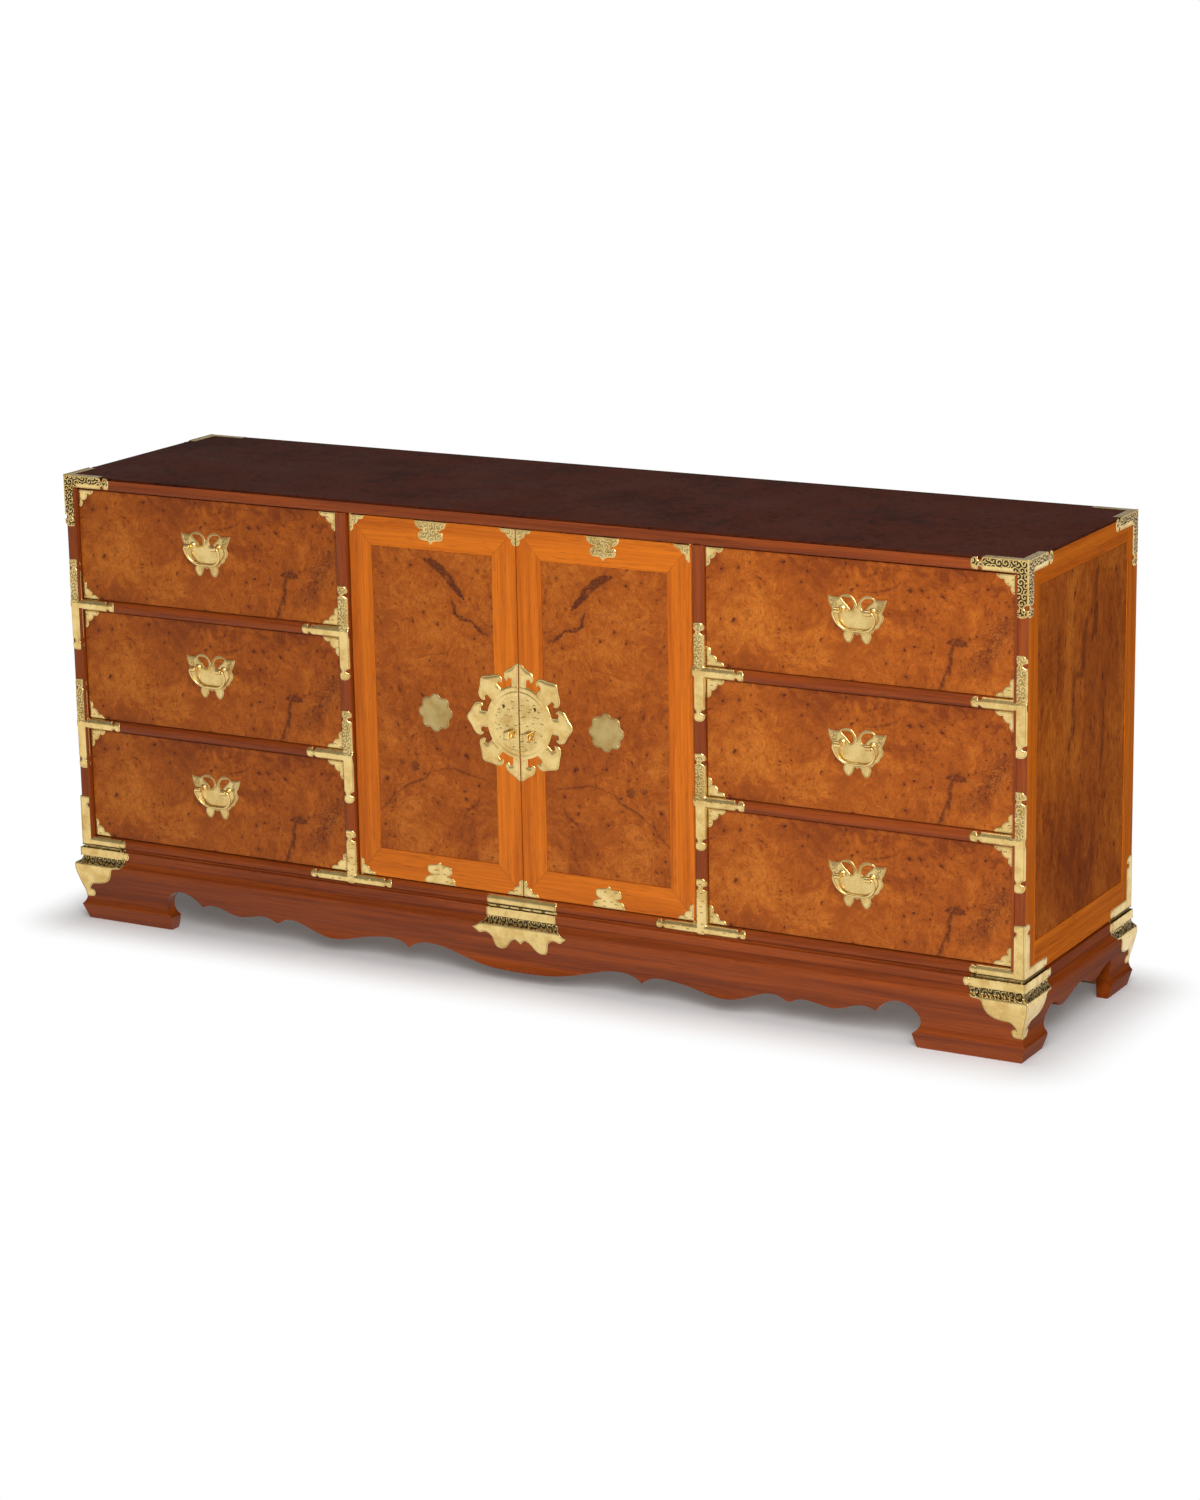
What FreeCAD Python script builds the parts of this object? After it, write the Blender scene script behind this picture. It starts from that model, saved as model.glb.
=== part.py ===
import FreeCAD, Part
import os
import re
from math import cos, pi, sin, sqrt

# Low sideboard with six drawers, two pivoted doors, a moulded bracket base and brass fittings.
# Millimetres, +Z up, front towards -Y. The origin lies on the floor under the middle of the box.

Vector = FreeCAD.Vector
doc = FreeCAD.newDocument("sideboard")

# Driving sizes
SIZES = {
    # case
    "case_width": 1830,
    "case_depth": 457,
    "case_height": 813,
    "top_thickness": 23,
    "top_lip": 4,
    "side_thickness": 18,
    "side_stile": 42,
    "side_top_rail": 42,
    "side_bottom_rail": 54,
    "side_panel_thickness": 12,
    "panel_recess": 1,
    "back_thickness": 9,
    # front frame
    "post_width": 22,
    "post_lip": 4,
    "frame_depth": 30,
    "divider_inner": 330.6,
    "divider_width": 21.2,
    "rail_height": 18,
    "bottom_rail_height": 17,
    "front_recess": 8,
    # inside
    "runner_width": 22,
    "runner_height": 14,
    "runner_rise": 2,
    "shelf_level": 468,
    "shelf_thickness": 18,
    "shelf_setback": 60,
    "shelf_gap": 1,
    "bearer_width": 16,
    "bearer_height": 20,
    # base
    "base_height": 138,
    "base_reach": 11,
    "base_thickness": 24,
    "base_back_thickness": 18,
    "base_back_height": 76,
    "foot_block_size": 40,
    "foot_block_rise": 12,
    # drawers
    "front_thickness": 20,
    "front_gap": 2,
    "drawer_gap": 2.5,
    "drawer_side_height": 150,
    "drawer_side_thickness": 12,
    "drawer_bottom_thickness": 6,
    "drawer_bottom_rise": 8,
    "drawer_end_gap": 0.5,
    # doors
    "door_thickness": 20,
    "door_gap": 2,
    "seam_gap": 2,
    "door_stile": 46,
    "door_rail": 50,
    "door_panel_thickness": 10,
    "pivot_inset": 4,
    "pivot_radius": 2,
    "pivot_length": 16,
    "washer_radius": 3.8,
    # fits
    "run_gap": 0.3,
    "pin_fit": 0.05,
    "overrun": 5,
    # brass
    "brass_thickness": 1.2,
    "pull_half_width": 52,
    "pull_half_height": 39.5,
    "pull_lift": 3,
    "post_spread": 27,
    "post_lift": 15,
    "pull_post_radius": 2.6,
    "pull_standoff": 16,
    "eye_radius": 5.5,
    "eye_width": 6,
    "bail_radius": 2,
    "bail_half_width": 36,
    "bail_drop": 33,
    "bail_bend": 6,
    "bail_end": 3,
    "drawer_corner_leg": 32,
    "door_corner_leg": 29,
    "door_tab_half_width": 30,
    "door_tab_drop": 40,
    "rosette_radius": 33,
    "lock_radius": 102,
    "lock_level": 459,
    "lock_hole_radius": 3,
    "lock_hole_spread": 30,
    "lock_hole_lift": 26,
    "keeper_spread": 18,
    "keeper_drop": 21,
    "keeper_height": 14,
    "keeper_width": 11,
    "keeper_reach": 14,
    "keeper_hole_radius": 3,
    "strap_length": 82,
    "strap_arm": 72,
    "foot_strap_rise": 78,
    "bracket_arm": 97,
    "bracket_drop": 91,
    "bracket_arm_height": 21,
    "flange_width": 15,
    "mount_reach": 102,
    "mount_strap_rise": 74,
    "centre_mount_half_width": 91,
}

# Places and sizes that follow from the driving sizes
PLACES = {
    "half_width": "case_width / 2",
    "inner_half": "case_width / 2 - post_width",
    "side_inner": "case_width / 2 - side_thickness",
    "front_reach": "pull_standoff + eye_radius + brass_thickness - front_recess",
    "front_plane": "(front_reach - case_depth) / 2",
    "back_plane": "front_plane + case_depth",
    "back_inner": "back_plane - back_thickness",
    "frame_back": "front_plane + frame_depth",
    "door_plane": "front_plane + front_recess",
    "lip_level": "case_height - top_lip",
    "head_level": "case_height - top_thickness",
    "floor_level": "base_height + bottom_rail_height",
    "opening_height": "(head_level - floor_level - 2 * rail_height) / 3",
    "row_pitch": "opening_height + rail_height",
    "divider_outer": "divider_inner + divider_width",
    "bay_width": "inner_half - divider_outer",
    "bay_centre": "(inner_half + divider_outer) / 2",
    "drawer_back_plane": "back_inner - drawer_end_gap",
    "box_front_plane": "door_plane + front_thickness",
    "door_outer": "divider_inner - door_gap",
    "door_inner": "seam_gap / 2",
    "door_bottom": "floor_level + door_gap",
    "door_top": "head_level - door_gap",
    "door_middle": "(door_outer + door_inner) / 2",
    "door_panel_plane": "door_plane + panel_recess",
    "pivot_place": "door_outer - pivot_inset",
    "pivot_depth_place": "door_plane + pivot_inset",
    "washer_thickness": "door_gap - run_gap",
    "bail_plane": "door_plane - brass_thickness - pull_standoff",
    "base_span": "half_width + base_reach + overrun",
}

# Facets on each arc, between the points of each curve, round each small bar and round its bore
ARC_FACETS = 3
CURVE_FACETS = 2
BAR_FACETS = 8
BORE_FACETS = 16

# Outline shares
# base section: outward reach as a share of base_reach, level as a share of base_height
SECTION_GROOVE_SHARES = (-0.27, 1.0, 0.971)
SECTION_BAND_SHARES = (0.27, 0.971, 0.862)
SECTION_COVE_SHARES = ((0.0, 0.855), (0.25, 0.8), (0.91, 0.77))
SECTION_OGEE_SHARES = (
    (0.91, 0.77), (1.0, 0.745), (0.82, 0.63), (0.25, 0.46), (-0.18, 0.33), (0.0, 0.245), (0.45, 0.2),
)
SECTION_FLOOR_SHARE = -0.36
# front apron, from the middle to the foot: shares of half_width and of base_height
APRON_SHARES = (
    ((0, 0.174), (0.06, 0.192), (0.124, 0.261), (0.178, 0.352), (0.214, 0.365), (0.25, 0.268)),
    ((0.25, 0.268), (0.268, 0.341), (0.3, 0.359), (0.355, 0.304), (0.399, 0.243), (0.456, 0.275),
     (0.512, 0.391), (0.546, 0.319)),
    ((0.546, 0.319), (0.584, 0.377), (0.64, 0.326), (0.689, 0.42), (0.72, 0.377)),
    ((0.72, 0.377), (0.734, 0.478), (0.765, 0.558), (0.797, 0.46), (0.805, 0.355), (0.791, 0.181)),
    ((0.791, 0.181), (0.794, 0.08), (0.798, 0)),
)
# side apron, from the middle to the foot: shares of case_depth and of base_height
SIDE_APRON_SHARES = (
    ((0, 0.536), (0.06, 0.5), (0.11, 0.42), (0.15, 0.39), (0.186, 0.413)),
    ((0.186, 0.413), (0.21, 0.48), (0.243, 0.52), (0.285, 0.51), (0.305, 0.36), (0.301, 0.181)),
    ((0.301, 0.181), (0.304, 0.08), (0.308, 0)),
)
# corner mount below the bands: shares of mount_reach and of base_height
MOUNT_SHARES = (
    ((0.93, 0.862), (0.9, 0.8), (0.83, 0.755)),
    ((0.83, 0.755), (0.72, 0.745), (0.655, 0.712)),
    ((0.655, 0.712), (0.6, 0.595), (0.46, 0.521), (0.308, 0.5), (0.192, 0.486), (0.115, 0.41)),
    ((0.115, 0.41), (0.2, 0.36), (0.115, 0.3)),
)
# middle mount below the bands: shares of centre_mount_half_width and of base_height
CENTRE_MOUNT_SHARES = (
    ((0.74, 0.862), (0.8, 0.8), (1.0, 0.71)),
    ((1.0, 0.71), (0.86, 0.64), (0.72, 0.66), (0.6, 0.6), (0.56, 0.5), (0.46, 0.45)),
    ((0.46, 0.45), (0.34, 0.47), (0.22, 0.56), (0.1, 0.6), (0, 0.55)),
)
# half a butterfly plate, from the top notch to the lower notch, and its teardrop opening
BUTTERFLY_SHARES = (
    ((0, 0.52), (0.1, 0.8), (0.25, 0.97), (0.45, 0.97), (0.61, 0.845)),
    ((0.61, 0.845), (0.8, 0.84), (0.985, 0.885)),
    ((0.985, 0.885), (0.93, 0.6), (0.835, 0.34)),
    ((0.835, 0.34), (0.875, 0.1), (0.765, -0.135)),
    ((0.765, -0.135), (0.7, -0.28), (0.567, -0.354)),
    ((0.567, -0.354), (0.52, -0.48), (0.43, -0.532)),
    ((0.43, -0.532), (0.44, -0.81), (0.3, -0.987), (0.17, -0.83), (0.125, -0.658)),
    ((0.125, -0.658), (0.06, -0.6), (0, -0.67)),
)
TEARDROP_SHARES = (
    (0.55, 0.82), (0.38, 0.875), (0.2, 0.8), (0.12, 0.6), (0.2, 0.37), (0.34, 0.53), (0.48, 0.7),
)
# lower corners of a bail: share of the drop below its upper bends
BAIL_CORNER_SHARE = 0.94
# scalloped corner plate: shares of its leg
CORNER_SHARES = (
    ((1, 0), (0.86, 0.22), (0.6, 0.23)),
    ((0.6, 0.23), (0.49, 0.49), (0.23, 0.6)),
    ((0.23, 0.6), (0.22, 0.86), (0, 1)),
)
# half a door edge plate: shares of its half width and of its drop
TAB_SHARES = (
    ((1, 0), (1, -0.16)),
    ((1, -0.16), (0.8, -0.33), (0.45, -0.4)),
    ((0.45, -0.4), (0.78, -0.52), (0.74, -0.78), (0.36, -0.84), (0, -1)),
)
# half a lobe of the lock plate: shares of lock_radius, outward and across
LOCK_DISC_SHARE = 0.62
LOBE_NECK_SHARE = 0.135
LOBE_SHARES = (
    ((0.665, 0.14), (0.742, 0.185), (0.685, 0.226)),
    ((0.685, 0.226), (0.735, 0.279), (0.835, 0.258), (0.915, 0.14), (1.0, 0)),
)
LOBE_COUNT = 8
ROSETTE_NOTCH_SHARE = 0.86
# half a strap's rounded end: across and back from the tip, as shares of the strap's width
STRAP_END_SHARES = (
    ((0.5, -0.8), (0.36, -0.72)),
    ((0.36, -0.72), (0.45, -0.45), (0, 0)),
)


def bound(text):
    """Expression text in which each named value is led by its sheet."""
    def with_sheet(match):
        word = match.group(0)
        if word in SIZES:
            return "sizes." + word
        if word in PLACES:
            return "places." + word
        return word
    return re.sub(r"[a-z][a-z_]*", with_sheet, text)


def make_sheet(name, entries):
    """A spreadsheet with one named cell for each entry."""
    sheet = doc.addObject("Spreadsheet::Sheet", name)
    for row, (alias, content) in enumerate(entries.items(), start=1):
        sheet.set(f"A{row}", alias)
        sheet.set(f"B{row}", content)
        sheet.setAlias(f"B{row}", alias)
    doc.recompute()
    return sheet


sizes = make_sheet("sizes", {alias: str(value) for alias, value in SIZES.items()})
places = make_sheet("places", {alias: "=" + bound(text) for alias, text in PLACES.items()})

nodes = {}


def place(item, corner):
    for axis, text in zip("xyz", corner):
        item.setExpression("Placement.Base." + axis, bound(text))
    return item


def box(name, size, corner):
    """A board, from the expressions of its three sizes and of its lowest corner."""
    item = doc.addObject("Part::Box", name)
    for prop, text in zip(("Length", "Width", "Height"), size):
        item.setExpression(prop, bound(text))
    return place(item, corner)


def span_box(name, low, high):
    """A board between two corners."""
    size = [f"({top}) - ({bottom})" for bottom, top in zip(low, high)]
    return box(name, size, low)


AXIS_TURNS = {
    "x": FreeCAD.Rotation(Vector(0, 1, 0), 90),
    "y": FreeCAD.Rotation(Vector(1, 0, 0), 90),
    "z": FreeCAD.Rotation(),
}


def rod(name, axis, radius, length, start, facets=BAR_FACETS):
    """A small bar with flats along +x, -y or +z from its start."""
    item = doc.addObject("Part::Prism", name)
    item.Polygon = facets
    item.setExpression("Circumradius", bound(radius))
    item.setExpression("Height", bound(length))
    item.Placement.Rotation = AXIS_TURNS[axis]
    return place(item, start)


def bore(name, axis, radius, length, start):
    """The hole for a turning bar, whose flats clear the bar's radius by the running fit."""
    across_corners = f"({radius} + pin_fit) / {cos(pi / BORE_FACETS)}"
    return rod(name, axis, across_corners, length, start, BORE_FACETS)


def facet_points(run):
    """Points along a run: a line through two points, an arc through three, a curve through more."""
    if len(run) == 2:
        return run
    if len(run) == 3:
        return Part.Arc(*run).toShape().discretize(Number=ARC_FACETS + 1)
    ring = run[0].isEqual(run[-1], 0)
    curve = Part.BSplineCurve()
    curve.interpolate(Points=run[:-1] if ring else run, PeriodicFlag=ring)
    return curve.toShape().discretize(Number=CURVE_FACETS * (len(run) - 1) + 1)


def edges_through(runs):
    """Short straight facets along runs of points."""
    edges = []
    for run in runs:
        points = facet_points(run)
        edges += [Part.LineSegment(a, b).toShape() for a, b in zip(points, points[1:])]
    return edges


def on_front(u, v):
    return Vector(u, 0, v)


def on_side(u, v):
    return Vector(0, u, v)


def on_floor(u, v):
    return Vector(u, v, 0)


def scaled(shares, across, up):
    return [[(u * across, v * up) for u, v in run] for run in shares]


def flipped(runs):
    """The same runs mirrored about the upright axis and walked the other way."""
    return [[(-u, v) for u, v in reversed(run)] for run in reversed(runs)]


def whole(half):
    """A closed outline from its right half, which runs from the axis round to the axis."""
    return half + flipped(half)


def moved(runs, u, v):
    return [[(a + u, b + v) for a, b in run] for run in runs]


def turned(runs, quarters):
    """The same runs turned to the left by quarter turns."""
    for _ in range(quarters):
        runs = [[(-v, u) for u, v in run] for run in runs]
    return runs


def closed(items):
    """A closed outline from runs and single corners, with straight lines between them."""
    runs = [item if isinstance(item, list) else [item] for item in items]
    outline = []
    for run, following in zip(runs, runs[1:] + runs[:1]):
        if len(run) > 1:
            outline.append(run)
        if run[-1] != following[0]:
            outline.append([run[-1], following[0]])
    return outline


def polygon(points):
    return closed(list(points))


def wire(runs, plane):
    return Part.Wire(edges_through([[plane(u, v) for u, v in run] for run in runs]))


def sheet_face(name, runs, plane, corner, holes=()):
    """A flat face with holes, drawn in a plane and set at its corner."""
    item = doc.addObject("Part::Feature", name)
    wires = [wire(runs, plane)] + [wire(hole, plane) for hole in holes]
    item.Shape = Part.makeFace(wires, "Part::FaceMakerBullseye")
    return place(item, corner)


def extrusion(name, face, direction, forward, backward="0"):
    item = doc.addObject("Part::Extrusion", name)
    item.Base = face
    item.DirMode = "Custom"
    item.Dir = direction
    item.Solid = True
    item.setExpression("LengthFwd", bound(forward))
    item.setExpression("LengthRev", bound(backward))
    return item


def front_plate(name, runs, corner, holes=()):
    """A brass plate on an upright face that looks to the front."""
    face = sheet_face(name + "_outline", runs, on_front, corner, holes)
    return extrusion(name, face, Vector(0, -1, 0), "brass_thickness")


def cut(name, base, tool):
    item = doc.addObject("Part::Cut", name)
    item.Base = base
    item.Tool = tool
    return item


def common(name, base, tool):
    item = doc.addObject("Part::Common", name)
    item.Base = base
    item.Tool = tool
    return item


def fuse(name, members):
    item = doc.addObject("Part::MultiFuse", name)
    item.Shapes = members
    return item


def group(name, members):
    item = doc.addObject("Part::Compound", name)
    item.Links = members
    return item


def mirrored(name, source):
    """The same piece on the other side of the middle."""
    item = doc.addObject("Part::Mirroring", name)
    item.Source = source
    item.Normal = Vector(1, 0, 0)
    return item


def node(item, label):
    """Name a finished sub-part."""
    item.Label = label
    nodes[label] = item
    return item


def pair(label, right):
    """One sub-part made of a right piece and its mirror image."""
    return node(group(label, [right, mirrored(label + "_left", right)]), label)


def left_and_right(label, right):
    """Two sub-parts that mirror each other."""
    node(right, "right_" + label)
    node(mirrored("left_" + label, right), "left_" + label)


# Case


def make_top():
    lip = box("top_lip_board", ("case_width", "case_depth", "top_lip"),
              ("-half_width", "front_plane", "lip_level"))
    core = span_box("top_core", ("-side_inner", "frame_back", "head_level"),
                    ("side_inner", "back_inner", "lip_level"))
    node(fuse("top_panel", [lip, core]), "top_panel")
    node(span_box("top_rail", ("-inner_half", "front_plane", "head_level"),
                  ("inner_half", "frame_back", "lip_level")), "top_rail")


def make_sides():
    front = "front_plane + post_lip"
    stile_back = "front_plane + side_stile"
    stile_front = "back_plane - side_stile"
    rail_under = "lip_level - side_top_rail"
    rail_over = "base_height + side_bottom_rail"
    stiles = [
        span_box("side_front_stile", ("side_inner", front, "base_height"),
                 ("half_width", stile_back, "lip_level")),
        span_box("side_back_stile", ("side_inner", stile_front, "base_height"),
                 ("half_width", "back_plane", "lip_level")),
        span_box("side_top_rail_board", ("side_inner", stile_back, rail_under),
                 ("half_width", stile_front, "lip_level")),
        span_box("side_bottom_rail_board", ("side_inner", stile_back, "base_height"),
                 ("half_width", stile_front, rail_over)),
    ]
    left_and_right("side_frame", group("right_side_frame", stiles))
    panel = span_box("right_side_panel",
                     ("half_width - panel_recess - side_panel_thickness", stile_back, rail_over),
                     ("half_width - panel_recess", stile_front, rail_under))
    left_and_right("side_panel", panel)


def make_inner_case():
    node(span_box("back_panel", ("-side_inner", "back_inner", "base_height"),
                  ("side_inner", "back_plane", "lip_level")), "back_panel")
    board_top = "floor_level + runner_rise"
    node(span_box("bottom_board", ("-side_inner", "frame_back", "base_height"),
                  ("side_inner", "back_inner", board_top)), "bottom_board")
    partition = span_box("right_partition", ("divider_inner", "frame_back", board_top),
                         ("divider_outer", "back_inner", "head_level"))
    left_and_right("partition", partition)
    shelf_edge = "divider_inner - shelf_gap"
    shelf_front = "front_plane + shelf_setback"
    node(span_box("shelf", ("-(" + shelf_edge + ")", shelf_front, "shelf_level"),
                  (shelf_edge, "back_inner - shelf_gap", "shelf_level + shelf_thickness")), "shelf")
    bearer = span_box("shelf_bearer",
                      ("divider_inner - bearer_width", shelf_front, "shelf_level - bearer_height"),
                      ("divider_inner", "back_inner", "shelf_level"))
    pair("shelf_bearers", bearer)


def make_front_frame():
    lip = span_box("post_face", ("inner_half", "front_plane", "base_height"),
                   ("half_width", "front_plane + post_lip", "lip_level"))
    tongue = span_box("post_tongue", ("inner_half", "front_plane + post_lip", "base_height"),
                      ("side_inner", "frame_back", "lip_level"))
    pair("corner_posts", fuse("corner_post", [lip, tongue]))
    pair("divider_posts", span_box("divider_post", ("divider_inner", "front_plane", "floor_level"),
                                   ("divider_outer", "frame_back", "head_level")))
    node(span_box("bottom_rail", ("-inner_half", "front_plane", "base_height"),
                  ("inner_half", "frame_back", "floor_level")), "bottom_rail")
    rails = []
    runners = []
    for row in (1, 2):
        rail_top = f"floor_level + {row} * row_pitch"
        rails.append(span_box(f"drawer_rail_{row}",
                              ("divider_outer", "front_plane", rail_top + " - rail_height"),
                              ("inner_half", "frame_back", rail_top)))
        runner_top = rail_top + " + runner_rise"
        runner_edges = (("divider_outer", "divider_outer + runner_width"),
                        ("side_inner - runner_width", "side_inner"))
        for side, (near, far) in enumerate(runner_edges):
            runners.append(span_box(f"runner_{row}_{side}",
                                    (near, "frame_back", runner_top + " - runner_height"),
                                    (far, "back_inner", runner_top)))
    pair("drawer_rails", group("drawer_rails_right", rails))
    pair("drawer_runners", group("drawer_runners_right", runners))


# Moulded base


def section_path(layer):
    """The base's outer section from its top edge to the toe, a layer's thickness out from the wood."""
    reach = sizes.base_reach
    height = sizes.base_height

    def at(out_share, level_share, lift=0):
        return (out_share * reach + layer, level_share * height + lift * layer)

    groove, groove_top, groove_bottom = SECTION_GROOVE_SHARES
    band, band_top, band_bottom = SECTION_BAND_SHARES
    corners = [at(groove, groove_top, -1), at(groove, groove_bottom, 1), at(band, band_top, 1),
               at(band, band_bottom, -1), at(*SECTION_COVE_SHARES[0], -1)]
    cove = [at(*SECTION_COVE_SHARES[0], -1)] + [at(*point) for point in SECTION_COVE_SHARES[1:]]
    lines = [[a, b] for a, b in zip(corners, corners[1:])]
    return lines + [cove, [at(*point) for point in SECTION_OGEE_SHARES]]


def base_section():
    """The closed section of the base board."""
    path = section_path(0)
    toe = path[-1][-1]
    floor = (SECTION_FLOOR_SHARE * sizes.base_reach, 0)
    inner_foot = (-sizes.base_thickness, 0)
    inner_top = (-sizes.base_thickness, sizes.base_height)
    return path + polygon([toe, floor, inner_foot, inner_top, path[0][0]])[:-1]


def brass_section(rise):
    """The closed section of a brass mount that lies on the base and rises above it."""
    inner = section_path(0)
    outer = section_path(sizes.brass_thickness)
    top = sizes.base_height + rise
    lead = polygon([inner[0][0], (0, sizes.base_height), (0, top), (sizes.brass_thickness, top),
                    (sizes.brass_thickness, outer[0][0][1]), outer[0][0]])[:-1]
    back = [list(reversed(run)) for run in reversed(inner)]
    return lead + outer + [[outer[-1][-1], inner[-1][-1]]] + back


def outward_front(out, level):
    return Vector(0, -out, level)


def outward_side(out, level):
    return Vector(out, 0, level)


def mitre_plan(name, ends):
    """A plan that keeps what lies on one side of the corner mitres, as an upright prism."""
    face = sheet_face(name + "_plan", polygon(ends), on_floor, ("0", "front_plane", "0"))
    return extrusion(name, face, Vector(0, 0, 1), "case_height", "overrun")


def apron_cutter(name, shares, width, plane, corner, direction, forward, backward):
    """The space under an apron, as a prism across the board."""
    half = scaled(shares, width, sizes.base_height)
    under = -sizes.overrun
    foot = half[-1][-1]
    lower = [[foot, (foot[0], under)], [(foot[0], under), (0, under)]]
    face = sheet_face(name + "_outline", whole(half + lower), plane, corner)
    return extrusion(name, face, direction, forward, backward)


def make_base():
    half = places.half_width
    reach = sizes.base_reach + sizes.overrun
    thick = sizes.base_thickness + sizes.overrun
    front_face = sheet_face("base_front_section", base_section(), outward_front, ("0", "front_plane", "0"))
    front_bar = extrusion("base_front_bar", front_face, Vector(1, 0, 0), "base_span", "base_span")
    front_plan = mitre_plan("base_front_mitre",
                            [(-half - reach, -reach), (half + reach, -reach),
                             (half - thick, thick), (-half + thick, thick)])
    front_arch = apron_cutter("front_arch", APRON_SHARES, half, on_front, ("0", "front_plane", "0"),
                              Vector(0, -1, 0), "base_reach + overrun", "base_thickness + overrun")
    node(cut("base_front", common("base_front_board", front_bar, front_plan), front_arch), "base_front")

    side_face = sheet_face("base_side_section", base_section(), outward_side,
                           ("half_width", "back_plane", "0"))
    side_bar = extrusion("base_side_bar", side_face, Vector(0, -1, 0),
                         "case_depth + base_reach + overrun")
    side_plan = mitre_plan("base_side_mitre",
                           [(half - thick, thick), (half + reach, -reach),
                            (half + reach, sizes.case_depth), (half - thick, sizes.case_depth)])
    side_arch = apron_cutter("side_arch", SIDE_APRON_SHARES, sizes.case_depth, on_side,
                             ("half_width", "(front_plane + back_plane) / 2", "0"),
                             Vector(1, 0, 0), "base_reach + overrun", "base_thickness + overrun")
    side = cut("right_base_side", common("base_side_board", side_bar, side_plan), side_arch)
    left_and_right("base_side", side)

    inner = "half_width - base_thickness"
    node(span_box("base_back", ("-(" + inner + ")", "back_plane - base_back_thickness",
                                "base_height - base_back_height"),
                  (inner, "back_plane", "base_height")), "base_back")
    front_start = "front_plane + base_thickness"
    back_start = "back_plane - base_back_thickness - foot_block_size"
    blocks = [box(f"foot_block_{number}", ("foot_block_size", "foot_block_size", "base_height - foot_block_rise"),
                  (inner + " - foot_block_size", start, "foot_block_rise"))
              for number, start in enumerate((front_start, back_start))]
    pair("foot_blocks", group("foot_blocks_right", blocks))


# Brass on the case


def strap_end(width, quarters, tip):
    """A strap's rounded end, from side to side round its tip, pointing up before its quarter turns."""
    half = scaled(STRAP_END_SHARES, width, width)
    return moved(turned(whole(half), quarters), *tip)


def strap_outline(post, arm, arm_height):
    """An upright strap with one arm to the right, about the middle of their crossing."""
    side = post / 2
    level = arm_height / 2
    return closed(strap_end(arm_height, 3, (side + arm, 0)) + [(side, level)]
                  + strap_end(post, 0, (0, sizes.strap_length)) + strap_end(post, 2, (0, -sizes.strap_length))
                  + [(side, -level)])


def rail_strap(name, row, post_centre, post, arm_side):
    """A strap over a post and a drawer rail, with a lip on the rail's upper ledge."""
    rail_top = f"floor_level + {row} * row_pitch"
    outline = strap_outline(getattr(sizes, post), sizes.strap_arm, sizes.rail_height)
    if arm_side < 0:
        outline = flipped(outline)
    plate = front_plate(name + "_plate", outline, (post_centre, "front_plane", rail_top + " - rail_height / 2"))
    near = f"{post_centre} + {arm_side} * ({post} / 2)"
    far = f"{near} + {arm_side} * (strap_arm - rail_height)"
    low, high = (near, far) if arm_side > 0 else (far, near)
    ledge = span_box(name + "_ledge", (low, "front_plane - brass_thickness", rail_top),
                     (high, "front_plane + front_recess - front_gap", rail_top + " + brass_thickness"))
    return fuse(name, [plate, ledge])


def make_straps():
    straps = []
    for row in (1, 2):
        straps.append(rail_strap(f"divider_strap_{row}", row, "(divider_inner + divider_width / 2)",
                                 "divider_width", 1))
        straps.append(rail_strap(f"corner_strap_{row}", row, "(half_width - post_width / 2)",
                                 "post_width", -1))
    pair("rail_straps", group("rail_straps_right", straps))

    side = sizes.divider_width / 2
    level = sizes.bottom_rail_height / 2
    reach = side + sizes.strap_arm
    outline = closed(strap_end(sizes.bottom_rail_height, 3, (reach, 0)) + [(side, level)]
                     + strap_end(sizes.divider_width, 0, (0, level + sizes.foot_strap_rise)) + [(-side, level)]
                     + strap_end(sizes.bottom_rail_height, 1, (-reach, 0)))
    foot = front_plate("divider_foot_strap", outline,
                       ("divider_inner + divider_width / 2", "front_plane",
                        "base_height + bottom_rail_height / 2"))
    pair("divider_foot_straps", foot)


def bracket_outline():
    """A corner strap from its outer top corner: an arm to the left and a drop along the post."""
    height = sizes.bracket_arm_height
    post = sizes.post_width
    return closed([(0, 0)] + strap_end(height, 1, (-sizes.bracket_arm, -height / 2)) + [(-post, -height)]
                  + strap_end(post, 2, (-post / 2, -sizes.bracket_drop)))


def top_flange(name, corner, toward_back):
    """The brass border on the top at one corner."""
    arm = sizes.bracket_arm - sizes.bracket_arm_height
    lip = sizes.flange_width
    plan = [(0, 0), (-arm, 0), (-arm, lip), (-lip, lip), (-lip, arm), (0, arm)]
    face = sheet_face(name + "_plan", polygon([(u, v * toward_back) for u, v in plan]), on_floor, corner)
    return extrusion(name, face, Vector(0, 0, 1), "brass_thickness")


def make_top_brackets():
    outline = bracket_outline()
    outer = "half_width + brass_thickness"
    front_edge = "front_plane - brass_thickness"
    front = front_plate("bracket_front", outline, (outer, "front_plane", "case_height"))
    side_face = sheet_face("bracket_side_outline", flipped(outline), on_side,
                           ("half_width", "front_plane", "case_height"))
    side = extrusion("bracket_side", side_face, Vector(1, 0, 0), "brass_thickness")
    back_face = sheet_face("bracket_back_outline", outline, on_side,
                           ("half_width", "back_plane", "case_height"))
    back = extrusion("bracket_back", back_face, Vector(1, 0, 0), "brass_thickness")
    front_flange = top_flange("front_flange", (outer, front_edge, "case_height"), 1)
    back_flange = top_flange("back_flange", (outer, "back_plane", "case_height"), -1)
    brackets = [fuse("front_bracket", [front, side, front_flange]), fuse("back_bracket", [back, back_flange])]
    pair("top_corner_brackets", group("top_brackets_right", brackets))


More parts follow.
